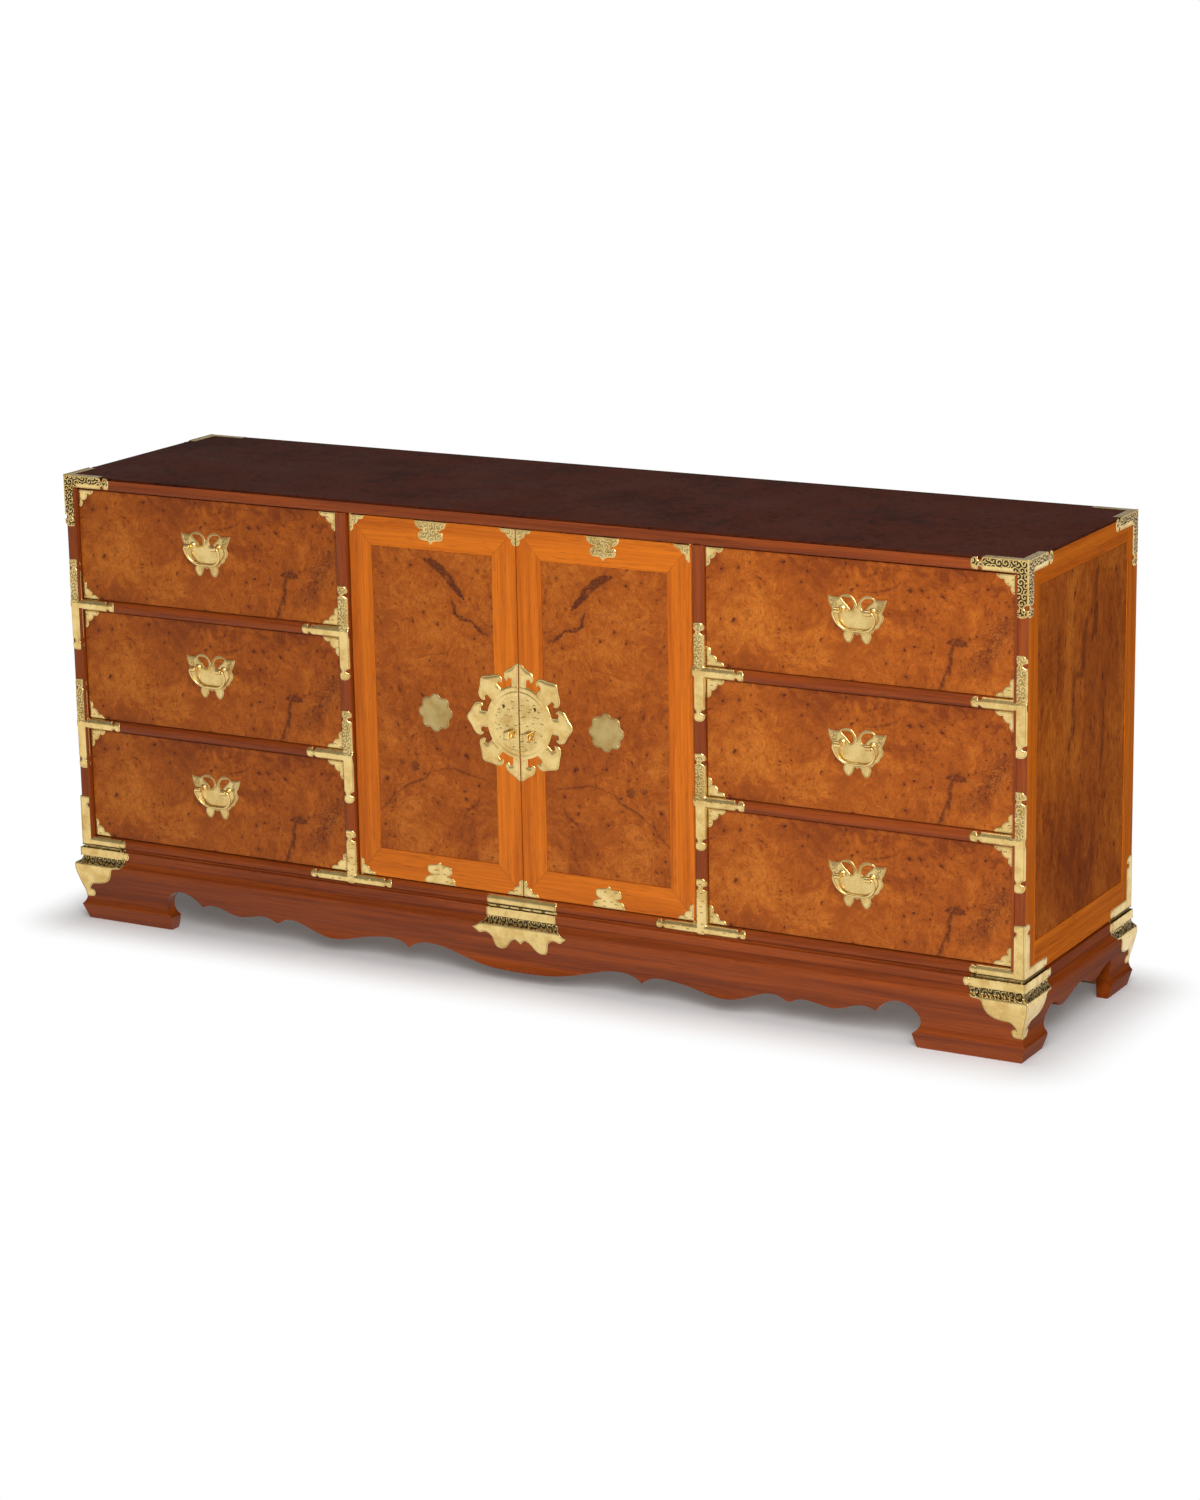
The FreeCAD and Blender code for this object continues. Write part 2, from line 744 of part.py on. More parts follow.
def mount_outline():
    """A corner mount seen square on, from its corner inward to the left."""
    height = sizes.base_height
    outer = sizes.base_reach + sizes.overrun
    top = places.floor_level + sizes.mount_strap_rise
    reach = sizes.mount_reach
    lower = [[(-u, v) for u, v in run] for run in scaled(MOUNT_SHARES, reach, height)]
    band = SECTION_GROOVE_SHARES[2] * height
    return closed([(outer, lower[-1][-1][1]), (outer, top), (-sizes.post_width, top),
                   (-sizes.post_width, places.floor_level), (-reach, places.floor_level), (-reach, band)] + lower)


def make_base_mounts():
    half = places.half_width
    reach = sizes.base_reach + sizes.overrun
    inner = sizes.base_reach
    far = sizes.mount_reach + sizes.overrun
    strap_top = sizes.bottom_rail_height + sizes.mount_strap_rise
    outline = mount_outline()

    front_face = sheet_face("mount_front_section", brass_section(strap_top), outward_front,
                            ("half_width", "front_plane", "0"))
    front_bar = extrusion("mount_front_bar", front_face, Vector(1, 0, 0), "base_reach + overrun",
                          "mount_reach + overrun")
    front_plan = mitre_plan("mount_front_mitre", [(half + reach, -reach), (half - inner, inner),
                                                  (half - far, inner), (half - far, -reach)])
    front_shape = sheet_face("mount_front_outline", outline, on_front, ("half_width", "front_plane", "0"))
    front_prism = extrusion("mount_front_prism", front_shape, Vector(0, -1, 0), "base_reach + overrun",
                            "base_reach + overrun")
    front = common("mount_front", common("mount_front_mitred", front_bar, front_plan), front_prism)

    side_section = brass_section(strap_top)
    side_face = sheet_face("mount_side_section", side_section, outward_side, ("half_width", "front_plane", "0"))
    side_bar = extrusion("mount_side_bar", side_face, Vector(0, 1, 0), "mount_reach + overrun",
                         "base_reach + overrun")
    side_plan = mitre_plan("mount_side_mitre", [(half + reach, -reach), (half + reach, far),
                                                (half - inner, far), (half - inner, inner)])
    side_shape = sheet_face("mount_side_outline", flipped(outline), on_side,
                            ("half_width", "front_plane", "0"))
    side_prism = extrusion("mount_side_prism", side_shape, Vector(1, 0, 0), "base_reach + overrun",
                           "base_reach + overrun")
    side = common("mount_side", common("mount_side_mitred", side_bar, side_plan), side_prism)

    back_face = sheet_face("mount_back_section", side_section, outward_side, ("half_width", "back_plane", "0"))
    back_bar = extrusion("mount_back_bar", back_face, Vector(0, -1, 0), "mount_reach + overrun")
    back_shape = sheet_face("mount_back_outline", outline, on_side, ("half_width", "back_plane", "0"))
    back_prism = extrusion("mount_back_prism", back_shape, Vector(1, 0, 0), "base_reach + overrun",
                           "base_reach + overrun")
    back = common("mount_back", back_bar, back_prism)

    wide = sizes.centre_mount_half_width
    lower = scaled(CENTRE_MOUNT_SHARES, wide, sizes.base_height)
    band_edge = lower[0][0][0]
    half_outline = [[(0, places.floor_level), (band_edge, places.floor_level)],
                    [(band_edge, places.floor_level), lower[0][0]]] + lower
    centre_face = sheet_face("centre_section", brass_section(sizes.bottom_rail_height), outward_front,
                             ("0", "front_plane", "0"))
    centre_bar = extrusion("centre_bar", centre_face, Vector(1, 0, 0), "centre_mount_half_width + overrun",
                           "centre_mount_half_width + overrun")
    centre_shape = sheet_face("centre_outline", whole(half_outline), on_front, ("0", "front_plane", "0"))
    centre_prism = extrusion("centre_prism", centre_shape, Vector(0, -1, 0), "base_reach + overrun",
                             "base_reach + overrun")
    corners = group("base_mounts_right", [fuse("front_mount", [front, side]), back])
    node(group("base_mounts", [common("centre_mount", centre_bar, centre_prism), corners,
                               mirrored("base_mounts_left", corners)]), "base_mounts")


# Brass plates shared by doors and drawers


def corner_plates(name, leg, low, high, plane):
    """Four scalloped plates in the corners of a face, from its lowest and highest corner."""
    plates = []
    for across in (1, -1):
        for up in (1, -1):
            runs = [[(u * across, v * up) for u, v in run]
                    for run in closed([(0, 0)] + scaled(CORNER_SHARES, leg, leg))]
            corner = (low[0] if across > 0 else high[0], plane, low[1] if up > 0 else high[1])
            plates.append(front_plate(f"{name}_{len(plates)}", runs, corner))
    return plates


def spoke(angle, out, across):
    """A point given along and across a spoke at an angle."""
    return (out * cos(angle) - across * sin(angle), out * sin(angle) + across * cos(angle))


def rosette_outline(radius):
    step = 2 * pi / LOBE_COUNT
    notch = radius * ROSETTE_NOTCH_SHARE
    return [[spoke((lobe - 0.5) * step, notch, 0), spoke(lobe * step, radius, 0),
             spoke((lobe + 0.5) * step, notch, 0)] for lobe in range(LOBE_COUNT)]


def lock_outline(radius):
    """Eight cloud-head lobes on a disc."""
    step = 2 * pi / LOBE_COUNT
    disc = LOCK_DISC_SHARE * radius
    neck = LOBE_NECK_SHARE * radius
    neck_out = sqrt(disc ** 2 - neck ** 2)
    half = scaled(LOBE_SHARES, radius, radius)
    items = []
    for lobe in range(LOBE_COUNT):
        angle = lobe * step
        following = (lobe + 1) % LOBE_COUNT * step
        rising = [[spoke(angle, out, -across) for out, across in run] for run in half]
        falling = [[spoke(angle, out, across) for out, across in reversed(run)] for run in reversed(half)]
        start = spoke(angle, neck_out, neck)
        items += [spoke(angle, neck_out, -neck)] + rising[:1] + [rising[1] + falling[0][1:]] + falling[1:]
        items.append([start, spoke(angle + step / 2, disc, 0), spoke(following, neck_out, -neck)])
    return items


# Doors


def make_doors():
    depth = sizes.door_thickness
    radius = sizes.pivot_inset
    outer = places.door_outer
    inner = places.door_inner
    bend = radius * (1 - sqrt(2) / 2)
    plan = closed([(inner, depth), (inner, 0), [(outer - radius, 0), (outer - bend, bend), (outer, radius)],
                   (outer, depth)])
    plan_face = sheet_face("door_plan", plan, on_floor, ("0", "door_plane", "door_bottom"))
    leaf = extrusion("door_leaf", plan_face, Vector(0, 0, 1), "door_top - door_bottom")
    bottom = places.door_bottom
    top = places.door_top
    stile = sizes.door_stile
    rail = sizes.door_rail
    outside = [(inner, bottom), (outer, bottom), (outer, top), (inner, top)]
    inside = [(inner + stile, bottom + rail), (outer - stile, bottom + rail),
              (outer - stile, top - rail), (inner + stile, top - rail)]
    members = []
    for number, name in enumerate(("lower_rail", "outer_stile", "upper_rail", "inner_stile")):
        following = (number + 1) % len(outside)
        shape = polygon([outside[number], outside[following], inside[following], inside[number]])
        face = sheet_face("door_" + name + "_outline", shape, on_front, ("0", "door_plane", "0"))
        prism = extrusion("door_" + name + "_prism", face, Vector(0, 1, 0), "door_thickness")
        members.append(common("door_" + name, leaf, prism))
    bores = group("pivot_bores", [
        bore("lower_bore", "z", "pivot_radius", "pivot_length + overrun",
             ("pivot_place", "pivot_depth_place", "door_bottom - overrun")),
        bore("upper_bore", "z", "pivot_radius", "pivot_length + overrun",
             ("pivot_place", "pivot_depth_place", "door_top - pivot_length")),
    ])
    frame = cut("right_door_frame", group("door_members", members), bores)
    left_and_right("door_frame", frame)
    left_and_right("door_panel", span_box(
        "right_door_panel", ("door_inner + door_stile", "door_panel_plane", "door_bottom + door_rail"),
        ("door_outer - door_stile", "door_panel_plane + door_panel_thickness", "door_top - door_rail")))

    pins = []
    for name, washer, start in (("lower", "floor_level", "floor_level"),
                                ("upper", "head_level - washer_thickness", "head_level - pivot_length")):
        pin = rod(name + "_pin", "z", "pivot_radius", "pivot_length", ("pivot_place", "pivot_depth_place", start))
        disc = rod(name + "_washer", "z", "washer_radius", "washer_thickness",
                   ("pivot_place", "pivot_depth_place", washer))
        pins.append(fuse(name + "_pivot", [pin, disc]))
    pair("door_pivots", group("door_pivots_right", pins))

    tab = whole(scaled(TAB_SHARES, sizes.door_tab_half_width, sizes.door_tab_drop))
    lower_tab = [[(u, -v) for u, v in run] for run in closed(tab)]
    plates = corner_plates("door_corner", sizes.door_corner_leg, ("door_inner", "door_bottom"),
                           ("door_outer - pivot_inset", "door_top"), "door_plane")
    plates.append(front_plate("door_upper_tab", closed(tab), ("door_middle", "door_plane", "door_top")))
    plates.append(front_plate("door_lower_tab", lower_tab, ("door_middle", "door_plane", "door_bottom")))
    plates.append(front_plate("door_rosette", rosette_outline(sizes.rosette_radius),
                              ("door_middle", "door_panel_plane", "lock_level")))
    left_and_right("door_plates", group("right_door_plates", plates))


def make_lock_plates():
    disc = front_plate("lock_disc", closed(lock_outline(sizes.lock_radius)), ("0", "door_plane", "lock_level"))
    half = span_box("lock_half", ("door_inner", "door_plane - brass_thickness - overrun",
                                  "lock_level - lock_radius - overrun"),
                    ("lock_radius + overrun", "door_plane + overrun", "lock_level + lock_radius + overrun"))
    hole = rod("lock_hole", "y", "lock_hole_radius", "brass_thickness + 2 * overrun",
               ("lock_hole_spread", "door_plane + overrun", "lock_level + lock_hole_lift"))
    plate = cut("lock_half_plate", common("lock_half_disc", disc, half), hole)
    plate_front = "door_plane - brass_thickness"
    lug = span_box("keeper_lug",
                   ("keeper_spread - keeper_width / 2", plate_front + " - keeper_reach",
                    "lock_level - keeper_drop - keeper_height / 2"),
                   ("keeper_spread + keeper_width / 2", plate_front,
                    "lock_level - keeper_drop + keeper_height / 2"))
    eye = rod("keeper_eye", "x", "keeper_hole_radius", "keeper_width + 2 * overrun",
              ("keeper_spread - keeper_width / 2 - overrun", plate_front + " - keeper_reach / 2",
               "lock_level - keeper_drop"))
    left_and_right("lock_plate", group("right_lock_plate", [plate, cut("keeper", lug, eye)]))


# Drawers


def drawer_box(name, row_bottom):
    """Two sides, a back and a bottom."""
    half = "(bay_width / 2 - drawer_gap)"
    low = row_bottom + " + runner_rise + run_gap"
    high = low + " + drawer_side_height"
    inner = f"({half} - drawer_side_thickness)"
    back_front = "drawer_back_plane - drawer_side_thickness"
    floor = low + " + drawer_bottom_rise"
    return group(name, [
        span_box(name + "_near_side", (f"bay_centre - {half}", "box_front_plane", low),
                 (f"bay_centre - {inner}", "drawer_back_plane", high)),
        span_box(name + "_far_side", (f"bay_centre + {inner}", "box_front_plane", low),
                 (f"bay_centre + {half}", "drawer_back_plane", high)),
        span_box(name + "_back", (f"bay_centre - {inner}", back_front, low),
                 (f"bay_centre + {inner}", "drawer_back_plane", high)),
        span_box(name + "_bottom", (f"bay_centre - {inner}", "box_front_plane", floor),
                 (f"bay_centre + {inner}", back_front, floor + " + drawer_bottom_thickness")),
    ])


def pull_post(name, offset, level):
    """A post with an eye across its end."""
    centre = f"bay_centre + {offset} * post_spread"
    stem = rod(name + "_stem", "y", "pull_post_radius", "pull_standoff",
               (centre, "door_plane - brass_thickness", level))
    eye = rod(name + "_eye", "x", "eye_radius", "eye_width", (centre + " - eye_width / 2", "bail_plane", level))
    hole = bore(name + "_bore", "x", "bail_radius", "eye_width + 2 * overrun",
                (centre + " - eye_width / 2 - overrun", "bail_plane", level))
    return cut(name, fuse(name + "_body", [stem, eye]), hole)


def bail(name, level):
    """A round bar bent to a loop, with its ends turned in through the eyes."""
    end = sizes.post_spread - sizes.eye_width / 2 - sizes.bail_end
    wide = sizes.bail_half_width
    bend = sizes.bail_bend
    drop = sizes.bail_drop
    corner = (drop - bend) * BAIL_CORNER_SHARE
    slack_share = 1 - sqrt(2) / 2
    half = [
        [(wide - bend, 0), (wide - bend * slack_share, -bend * slack_share), (wide, -bend)],
        [(wide, -drop + corner), (wide - corner * slack_share, -drop + corner * slack_share),
         (wide - corner, -drop)],
    ]
    runs = closed([(end, 0)] + half + flipped(half) + [(-end, 0)])[:-1]
    spine = doc.addObject("Part::Feature", name + "_path")
    spine.Shape = wire(runs, on_front)
    place(spine, ("bay_centre", "bail_plane", level))
    section = doc.addObject("Part::RegularPolygon", name + "_section")
    section.Polygon = BAR_FACETS
    section.setExpression("Circumradius", bound("bail_radius"))
    section.Placement.Rotation = AXIS_TURNS["x"]
    place(section, ("bay_centre + post_spread - eye_width / 2 - bail_end", "bail_plane", level))
    sweep = doc.addObject("Part::Sweep", name)
    sweep.Sections = [section]
    sweep.Spine = (spine, [])
    sweep.Solid = True
    sweep.Transition = "Right corner"
    return sweep


def make_drawers():
    butterfly = whole(scaled(BUTTERFLY_SHARES, sizes.pull_half_width, sizes.pull_half_height))
    teardrop = scaled([TEARDROP_SHARES + TEARDROP_SHARES[:1]], sizes.pull_half_width, sizes.pull_half_height)
    for row, name in enumerate(("bottom_drawer", "middle_drawer", "top_drawer")):
        row_bottom = f"floor_level + {row} * row_pitch"
        front_low = ("bay_centre - bay_width / 2 + front_gap", row_bottom + " + front_gap")
        front_high = ("bay_centre + bay_width / 2 - front_gap", row_bottom + " + opening_height - front_gap")
        front = span_box("right_" + name + "_front", (front_low[0], "door_plane", front_low[1]),
                         (front_high[0], "box_front_plane", front_high[1]))
        left_and_right(name + "_front", front)
        left_and_right(name + "_box", drawer_box("right_" + name + "_box", row_bottom))
        pull_level = row_bottom + " + opening_height / 2 + pull_lift"
        post_level = pull_level + " + post_lift"
        brass = corner_plates(name + "_corner", sizes.drawer_corner_leg, front_low, front_high, "door_plane")
        brass.append(front_plate(name + "_butterfly", butterfly, ("bay_centre", "door_plane", pull_level),
                                 [teardrop, flipped(teardrop)]))
        brass.append(pull_post(name + "_near_post", -1, post_level))
        brass.append(pull_post(name + "_far_post", 1, post_level))
        left_and_right(name + "_brass", group("right_" + name + "_brass", brass))
        left_and_right(name + "_bail", bail("right_" + name + "_bail", post_level))


def check_and_write():
    doc.recompute()
    faulty = [item.Label for item in doc.Objects if "Invalid" in item.State or "Error" in item.State]
    faulty += [label for label, item in nodes.items() if item.Shape.isNull() or not item.Shape.isValid()]
    if faulty:
        raise RuntimeError("faulty pieces: " + ", ".join(faulty))
    os.makedirs("parts", exist_ok=True)
    for label, item in nodes.items():
        item.Shape.exportStep(f"parts/{label}.step")


make_top()
make_sides()
make_inner_case()
make_front_frame()
make_base()
make_straps()
make_top_brackets()
make_base_mounts()
make_doors()
make_lock_plates()
make_drawers()
check_and_write()
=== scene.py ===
"""Looks of a low sideboard: burl fronts and doors, red beading, a moulded base and embossed brass."""

import math
from collections import namedtuple

import bmesh
import bpy
import numpy as np
from bpy.props import FloatProperty, FloatVectorProperty, PointerProperty
from mathutils import Matrix, Vector
from mathutils.geometry import delaunay_2d_cdt


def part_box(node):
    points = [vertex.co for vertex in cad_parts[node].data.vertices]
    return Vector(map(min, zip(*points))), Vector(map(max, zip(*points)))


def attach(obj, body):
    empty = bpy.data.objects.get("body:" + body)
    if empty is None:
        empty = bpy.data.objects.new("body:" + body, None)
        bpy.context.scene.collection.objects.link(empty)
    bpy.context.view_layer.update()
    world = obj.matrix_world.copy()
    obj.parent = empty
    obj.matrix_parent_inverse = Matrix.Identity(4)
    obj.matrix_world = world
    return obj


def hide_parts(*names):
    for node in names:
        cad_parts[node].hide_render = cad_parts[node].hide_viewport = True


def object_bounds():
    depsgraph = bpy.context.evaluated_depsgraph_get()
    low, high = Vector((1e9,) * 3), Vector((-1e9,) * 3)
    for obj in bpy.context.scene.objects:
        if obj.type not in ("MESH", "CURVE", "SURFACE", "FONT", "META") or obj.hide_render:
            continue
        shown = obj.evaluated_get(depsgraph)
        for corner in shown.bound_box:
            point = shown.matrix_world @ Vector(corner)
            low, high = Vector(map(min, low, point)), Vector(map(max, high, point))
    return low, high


bl_info = {
    "name": "Sideboard dressing",
    "version": (1, 0, 0),
    "blender": (4, 5, 0),
    "location": "View3D > Sidebar > Sideboard",
    "description": "Dresses the sideboard's solids with wood, embossed brass and a studio",
    "category": "Object",
}

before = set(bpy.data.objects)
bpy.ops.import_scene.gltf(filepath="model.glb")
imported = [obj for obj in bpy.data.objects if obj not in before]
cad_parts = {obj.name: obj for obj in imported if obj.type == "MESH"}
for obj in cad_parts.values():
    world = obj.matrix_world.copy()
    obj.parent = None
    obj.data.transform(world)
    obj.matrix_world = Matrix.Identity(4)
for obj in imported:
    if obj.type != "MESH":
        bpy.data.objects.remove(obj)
CAD_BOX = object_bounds()

SIDES = {"left": -1, "right": 1}
ROWS = ("bottom", "middle", "top")
DRAWERS = [f"{side}_{row}_drawer" for side in SIDES for row in ROWS]

# Levels and planes of the solids
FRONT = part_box("top_rail")[0].y
TOP_RAIL_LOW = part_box("top_rail")[0].z
CASE_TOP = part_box("top_panel")[1].z
HALF_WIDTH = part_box("top_panel")[1].x
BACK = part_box("top_panel")[1].y
LIP_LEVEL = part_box("top_rail")[1].z
INNER_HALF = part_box("top_rail")[1].x
DOOR_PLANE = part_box("right_top_drawer_front")[0].y
FLOOR_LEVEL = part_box("bottom_rail")[1].z
BASE_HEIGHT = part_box("base_front")[1].z
BASE_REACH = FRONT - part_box("base_front")[0].y
BASE_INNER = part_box("base_front")[1].y
INNER_REACH = FRONT - BASE_INNER
DIVIDER_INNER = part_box("right_partition")[0].x
DIVIDER_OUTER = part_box("right_partition")[1].x
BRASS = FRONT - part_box("divider_foot_straps")[0].y
DRAWER_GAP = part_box("right_bottom_drawer_front")[0].z - FLOOR_LEVEL
RAIL_TOPS = [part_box(f"right_{row}_drawer_front")[0].z - DRAWER_GAP for row in ROWS[1:]]
RAIL_HEIGHT = RAIL_TOPS[0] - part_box("drawer_rails")[0].z


def screen_colour(red, green, blue):
    """A linear colour from screen values of 0 to 255."""
    def linear(value):
        share = value / 255
        return share / 12.92 if share <= 0.04045 else ((share + 0.055) / 1.055) ** 2.4
    return (linear(red), linear(green), linear(blue), 1.0)


def colour_property(name, description, *screen):
    return FloatVectorProperty(name=name, description=description, subtype="COLOR", size=4, min=0.0,
                               max=1.0, default=screen_colour(*screen))


def length_property(name, description, default):
    return FloatProperty(name=name, description=description, subtype="DISTANCE", unit="LENGTH", min=0.0,
                         precision=5, default=default)


def power_property(name, description, default):
    return FloatProperty(name=name, description=description, unit="POWER", min=0.0, default=default)


class SideboardWood(bpy.types.PropertyGroup):
    """Colours and edges of the wood."""
    burl_light: colour_property("Burl light", "Bright clouds in the burl veneer", 206, 118, 38)
    burl_mid: colour_property("Burl", "Main colour of the burl veneer", 176, 90, 22)
    burl_dark: colour_property("Burl dark", "Dark clouds in the burl veneer", 118, 50, 8)
    burl_knot: colour_property("Burl knots", "Pin knots and dark streaks", 74, 29, 10)
    frame_light: colour_property("Frame light", "Bright grain of the door and side frames", 222, 120, 25)
    frame_dark: colour_property("Frame dark", "Dark grain of the door and side frames", 176, 82, 11)
    bead_light: colour_property("Beading light", "Bright grain of the beading and the base", 156, 72, 20)
    bead_dark: colour_property("Beading dark", "Dark grain of the beading and the base", 106, 42, 10)
    top_light: colour_property("Top light", "Bright clouds in the top's veneer", 86, 37, 19)
    top_dark: colour_property("Top dark", "Dark clouds in the top's veneer", 34, 14, 9)
    inner_light: colour_property("Inside light", "Bright grain of the inside boards", 205, 160, 110)
    inner_dark: colour_property("Inside dark", "Dark grain of the inside boards", 168, 120, 74)
    edge: length_property("Eased edge", "Width of the eased edges of boards", 0.0009)
    bead_depth: length_property("Bead depth", "How far the beading rounds back to its edges", 0.0072)
    bead_lap: length_property("Bead lap", "How far the beading laps over the gaps round the drawers", 0.001)


class SideboardBrass(bpy.types.PropertyGroup):
    """Colours and relief of the brass."""
    bright: colour_property("Brass", "Polished brass", 238, 208, 138)
    dull: colour_property("Dull brass", "Brass that has dulled between the raised lines", 210, 172, 100)
    # the tarnish colour also paints shade: in the keyholes, on the upper wing tips and on the upper half of
    # the strap arms
    dark: colour_property("Tarnish", "Tarnish in the grooves", 56, 42, 18)
    emboss: length_property("Relief", "Height of the raised lines", 0.0003)
    nail: length_property("Nail radius", "Radius of the nail heads", 0.0011)
    spacing: length_property("Mesh spacing", "Distance between the points of an embossed plate", 0.0016)


class SideboardStage(bpy.types.PropertyGroup):
    """Light and floor."""
    key: power_property("Key light", "Power of the large lamp in front", 130.0)
    fill: power_property("Fill light", "Power of the lamp in front on the left", 4.0)
    overhead: power_property("Overhead light", "Power of the lamp above", 41.0)
    floor: colour_property("Floor", "Colour of the floor", 244, 244, 244)


# Node graphs


class Graph:
    """Adds nodes to a tree and joins them."""

    def __init__(self, tree):
        self.tree = tree

    def feed(self, socket, value):
        if isinstance(value, bpy.types.NodeSocket):
            self.tree.links.new(value, socket)
        elif value is not None:
            socket.default_value = value

    def fill(self, node, inputs):
        for key, value in inputs.items():
            self.feed(node.inputs[key], value)
        return node

    def add(self, kind, inputs=None, **settings):
        node = self.tree.nodes.new(kind)
        for key, value in settings.items():
            setattr(node, key, value)
        return self.fill(node, inputs or {})

    def math(self, operation, *values, clamp=False):
        inputs = dict(enumerate(values))
        return self.add("ShaderNodeMath", inputs, operation=operation, use_clamp=clamp).outputs[0]

    def times(self, first, second):
        return self.math("MULTIPLY", first, second)

    def plus(self, first, second):
        return self.math("ADD", first, second)

    def minus(self, first, second):
        return self.math("SUBTRACT", first, second)

    def most(self, first, second):
        return self.math("MAXIMUM", first, second)

    def vector(self, operation, first, second=None):
        inputs = {0: first, "Scale" if operation == "SCALE" else 1: second}
        return self.add("ShaderNodeVectorMath", inputs, operation=operation).outputs[0]

    def length(self, vector):
        return self.add("ShaderNodeVectorMath", {0: vector}, operation="LENGTH").outputs["Value"]

    def ramp(self, value, low, high, to_low=0.0, to_high=1.0):
        """A smooth step between two values."""
        inputs = dict(enumerate((value, low, high, to_low, to_high)))
        return self.add("ShaderNodeMapRange", inputs, interpolation_type="SMOOTHSTEP").outputs[0]

    def mix(self, share, first, second):
        return self.add("ShaderNodeMix", {0: share, 6: first, 7: second}, data_type="RGBA").outputs[2]

    def mix_vector(self, share, first, second):
        return self.add("ShaderNodeMix", {0: share, 4: first, 5: second}, data_type="VECTOR").outputs[1]

    def noise(self, vector, scale, detail=3.0, roughness=0.5, distortion=0.0):
        return self.add("ShaderNodeTexNoise", {"Vector": vector, "Scale": scale, "Detail": detail,
                                               "Roughness": roughness, "Distortion": distortion}).outputs

    def split(self, vector):
        return self.add("ShaderNodeSeparateXYZ", {"Vector": vector}).outputs

    def join(self, x, y, z):
        return self.add("ShaderNodeCombineXYZ", {"X": x, "Y": y, "Z": z}).outputs[0]

    def placed(self, vector, location=(0, 0, 0), rotation=(0, 0, 0), scale=(1, 1, 1)):
        return self.add("ShaderNodeMapping", {"Vector": vector, "Location": location, "Rotation": rotation,
                                              "Scale": scale}).outputs[0]

    def group(self, name, inputs):
        return self.add("ShaderNodeGroup", inputs, node_tree=bpy.data.node_groups[name]).outputs


def new_group(name, inputs, outputs, kind="Shader", result="Float"):
    """A node group with its named sockets: its graph, its source sockets and its end node."""
    tree = bpy.data.node_groups.new(name, kind + "NodeTree")
    for label, content, *default in inputs:
        socket = tree.interface.new_socket(name=label, in_out="INPUT", socket_type="NodeSocket" + content)
        if default:
            socket.default_value = default[0]
    for label in outputs:
        tree.interface.new_socket(name=label, in_out="OUTPUT", socket_type="NodeSocket" + result)
    graph = Graph(tree)
    return graph, graph.add("NodeGroupInput").outputs, graph.add("NodeGroupOutput")


# layers of straight grain: scale, detail and roughness of its noise, and the values it steps between
GRAIN_LAYERS = {
    "Tone": ((55, 55, 1.6), 3.0, 0.55, 0.3, 0.7),
    "Fibre": ((420, 420, 7), 3.0, 0.6, 0.3, 0.7),
    "Pores": ((760, 760, 28), 2.0, 0.5, 0.6, 0.72),
}
# pin knots: scale of their cells, least radius, its spread, chance outside and inside clusters
PIN_KNOTS = ((64.0, 0.09, 0.12, 0.24, 0.8), (140.0, 0.09, 0.12, 0.08, 0.6))
NOISE_MIDDLE = (0.5, 0.5, 0.5)


def make_fibre_group():
    """Straight grain along Z: broad tone, fine fibres and short pores."""
    graph, source, end = new_group("Straight grain", [("Vector", "Vector")], GRAIN_LAYERS)
    sway = graph.noise(graph.placed(source["Vector"], scale=(6, 6, 1.2)), 1.0, 2.0)
    swayed = graph.vector("ADD", source["Vector"], graph.vector("SCALE", sway["Color"], 0.012))
    for name, (scale, detail, roughness, low, high) in GRAIN_LAYERS.items():
        layer = graph.noise(graph.placed(swayed, scale=scale), 1.0, detail, roughness)
        graph.fill(end, {name: graph.ramp(layer[0], low, high)})


def make_burl_group():
    """Clouded burl: fractal clouds, swirling figure, and pin knots with a reddish ring."""
    graph, source, end = new_group("Burl figure", [("Vector", "Vector")],
                                   ("Cloud", "Figure", "Knots", "Halo", "Speckle"))
    sway = graph.noise(source["Vector"], 9.0, 4.0, 0.6)
    offset = graph.vector("SUBTRACT", sway["Color"], NOISE_MIDDLE)
    swayed = graph.vector("ADD", source["Vector"], graph.vector("SCALE", offset, 0.07))
    broad = graph.noise(swayed, 8.0, 3.0, 0.6, 0.4)
    fine = graph.noise(swayed, 48.0, 8.0, 0.74, 0.9)
    cloud = graph.math("MULTIPLY_ADD", graph.minus(fine[0], 0.5), 1.15, broad[0])
    swirl = graph.noise(swayed, 22.0, 4.0, 0.55, 1.4)
    lines = graph.math("SINE", graph.times(swirl[0], 95.0))
    clusters = graph.noise(swayed, 10.0, 2.0)
    speckle = graph.noise(swayed, 240.0, 4.0, 0.75)
    knots = []
    halos = []
    for scale, least, spread, low, high in PIN_KNOTS:
        cells = graph.add("ShaderNodeTexVoronoi", {"Vector": swayed, "Scale": scale, "Randomness": 1.0})
        chance = graph.split(cells.outputs["Color"])
        picked = graph.math("LESS_THAN", chance[0], graph.ramp(clusters[0], 0.36, 0.68, low, high))
        size = graph.math("MULTIPLY_ADD", chance[1], spread, least)
        reach = graph.math("DIVIDE", cells.outputs["Distance"], size)
        knots.append(graph.times(graph.ramp(reach, 0.6, 1.2, 1.0, 0.0), picked))
        halos.append(graph.times(graph.ramp(reach, 0.9, 3.6, 1.0, 0.0), picked))
    graph.fill(end, {"Cloud": graph.ramp(cloud, 0.2, 0.8), "Figure": graph.ramp(lines, -0.4, 1.0),
                     "Knots": graph.most(*knots), "Halo": graph.most(*halos),
                     "Speckle": graph.ramp(speckle[0], 0.35, 0.65)})


STREAK_INPUTS = {"Centre": (0, 0, 0), "Turn": 0.0, "Half Length": 0.05, "Half Width": 0.004, "Bend": 0.0,
                 "Wave": 0.0}


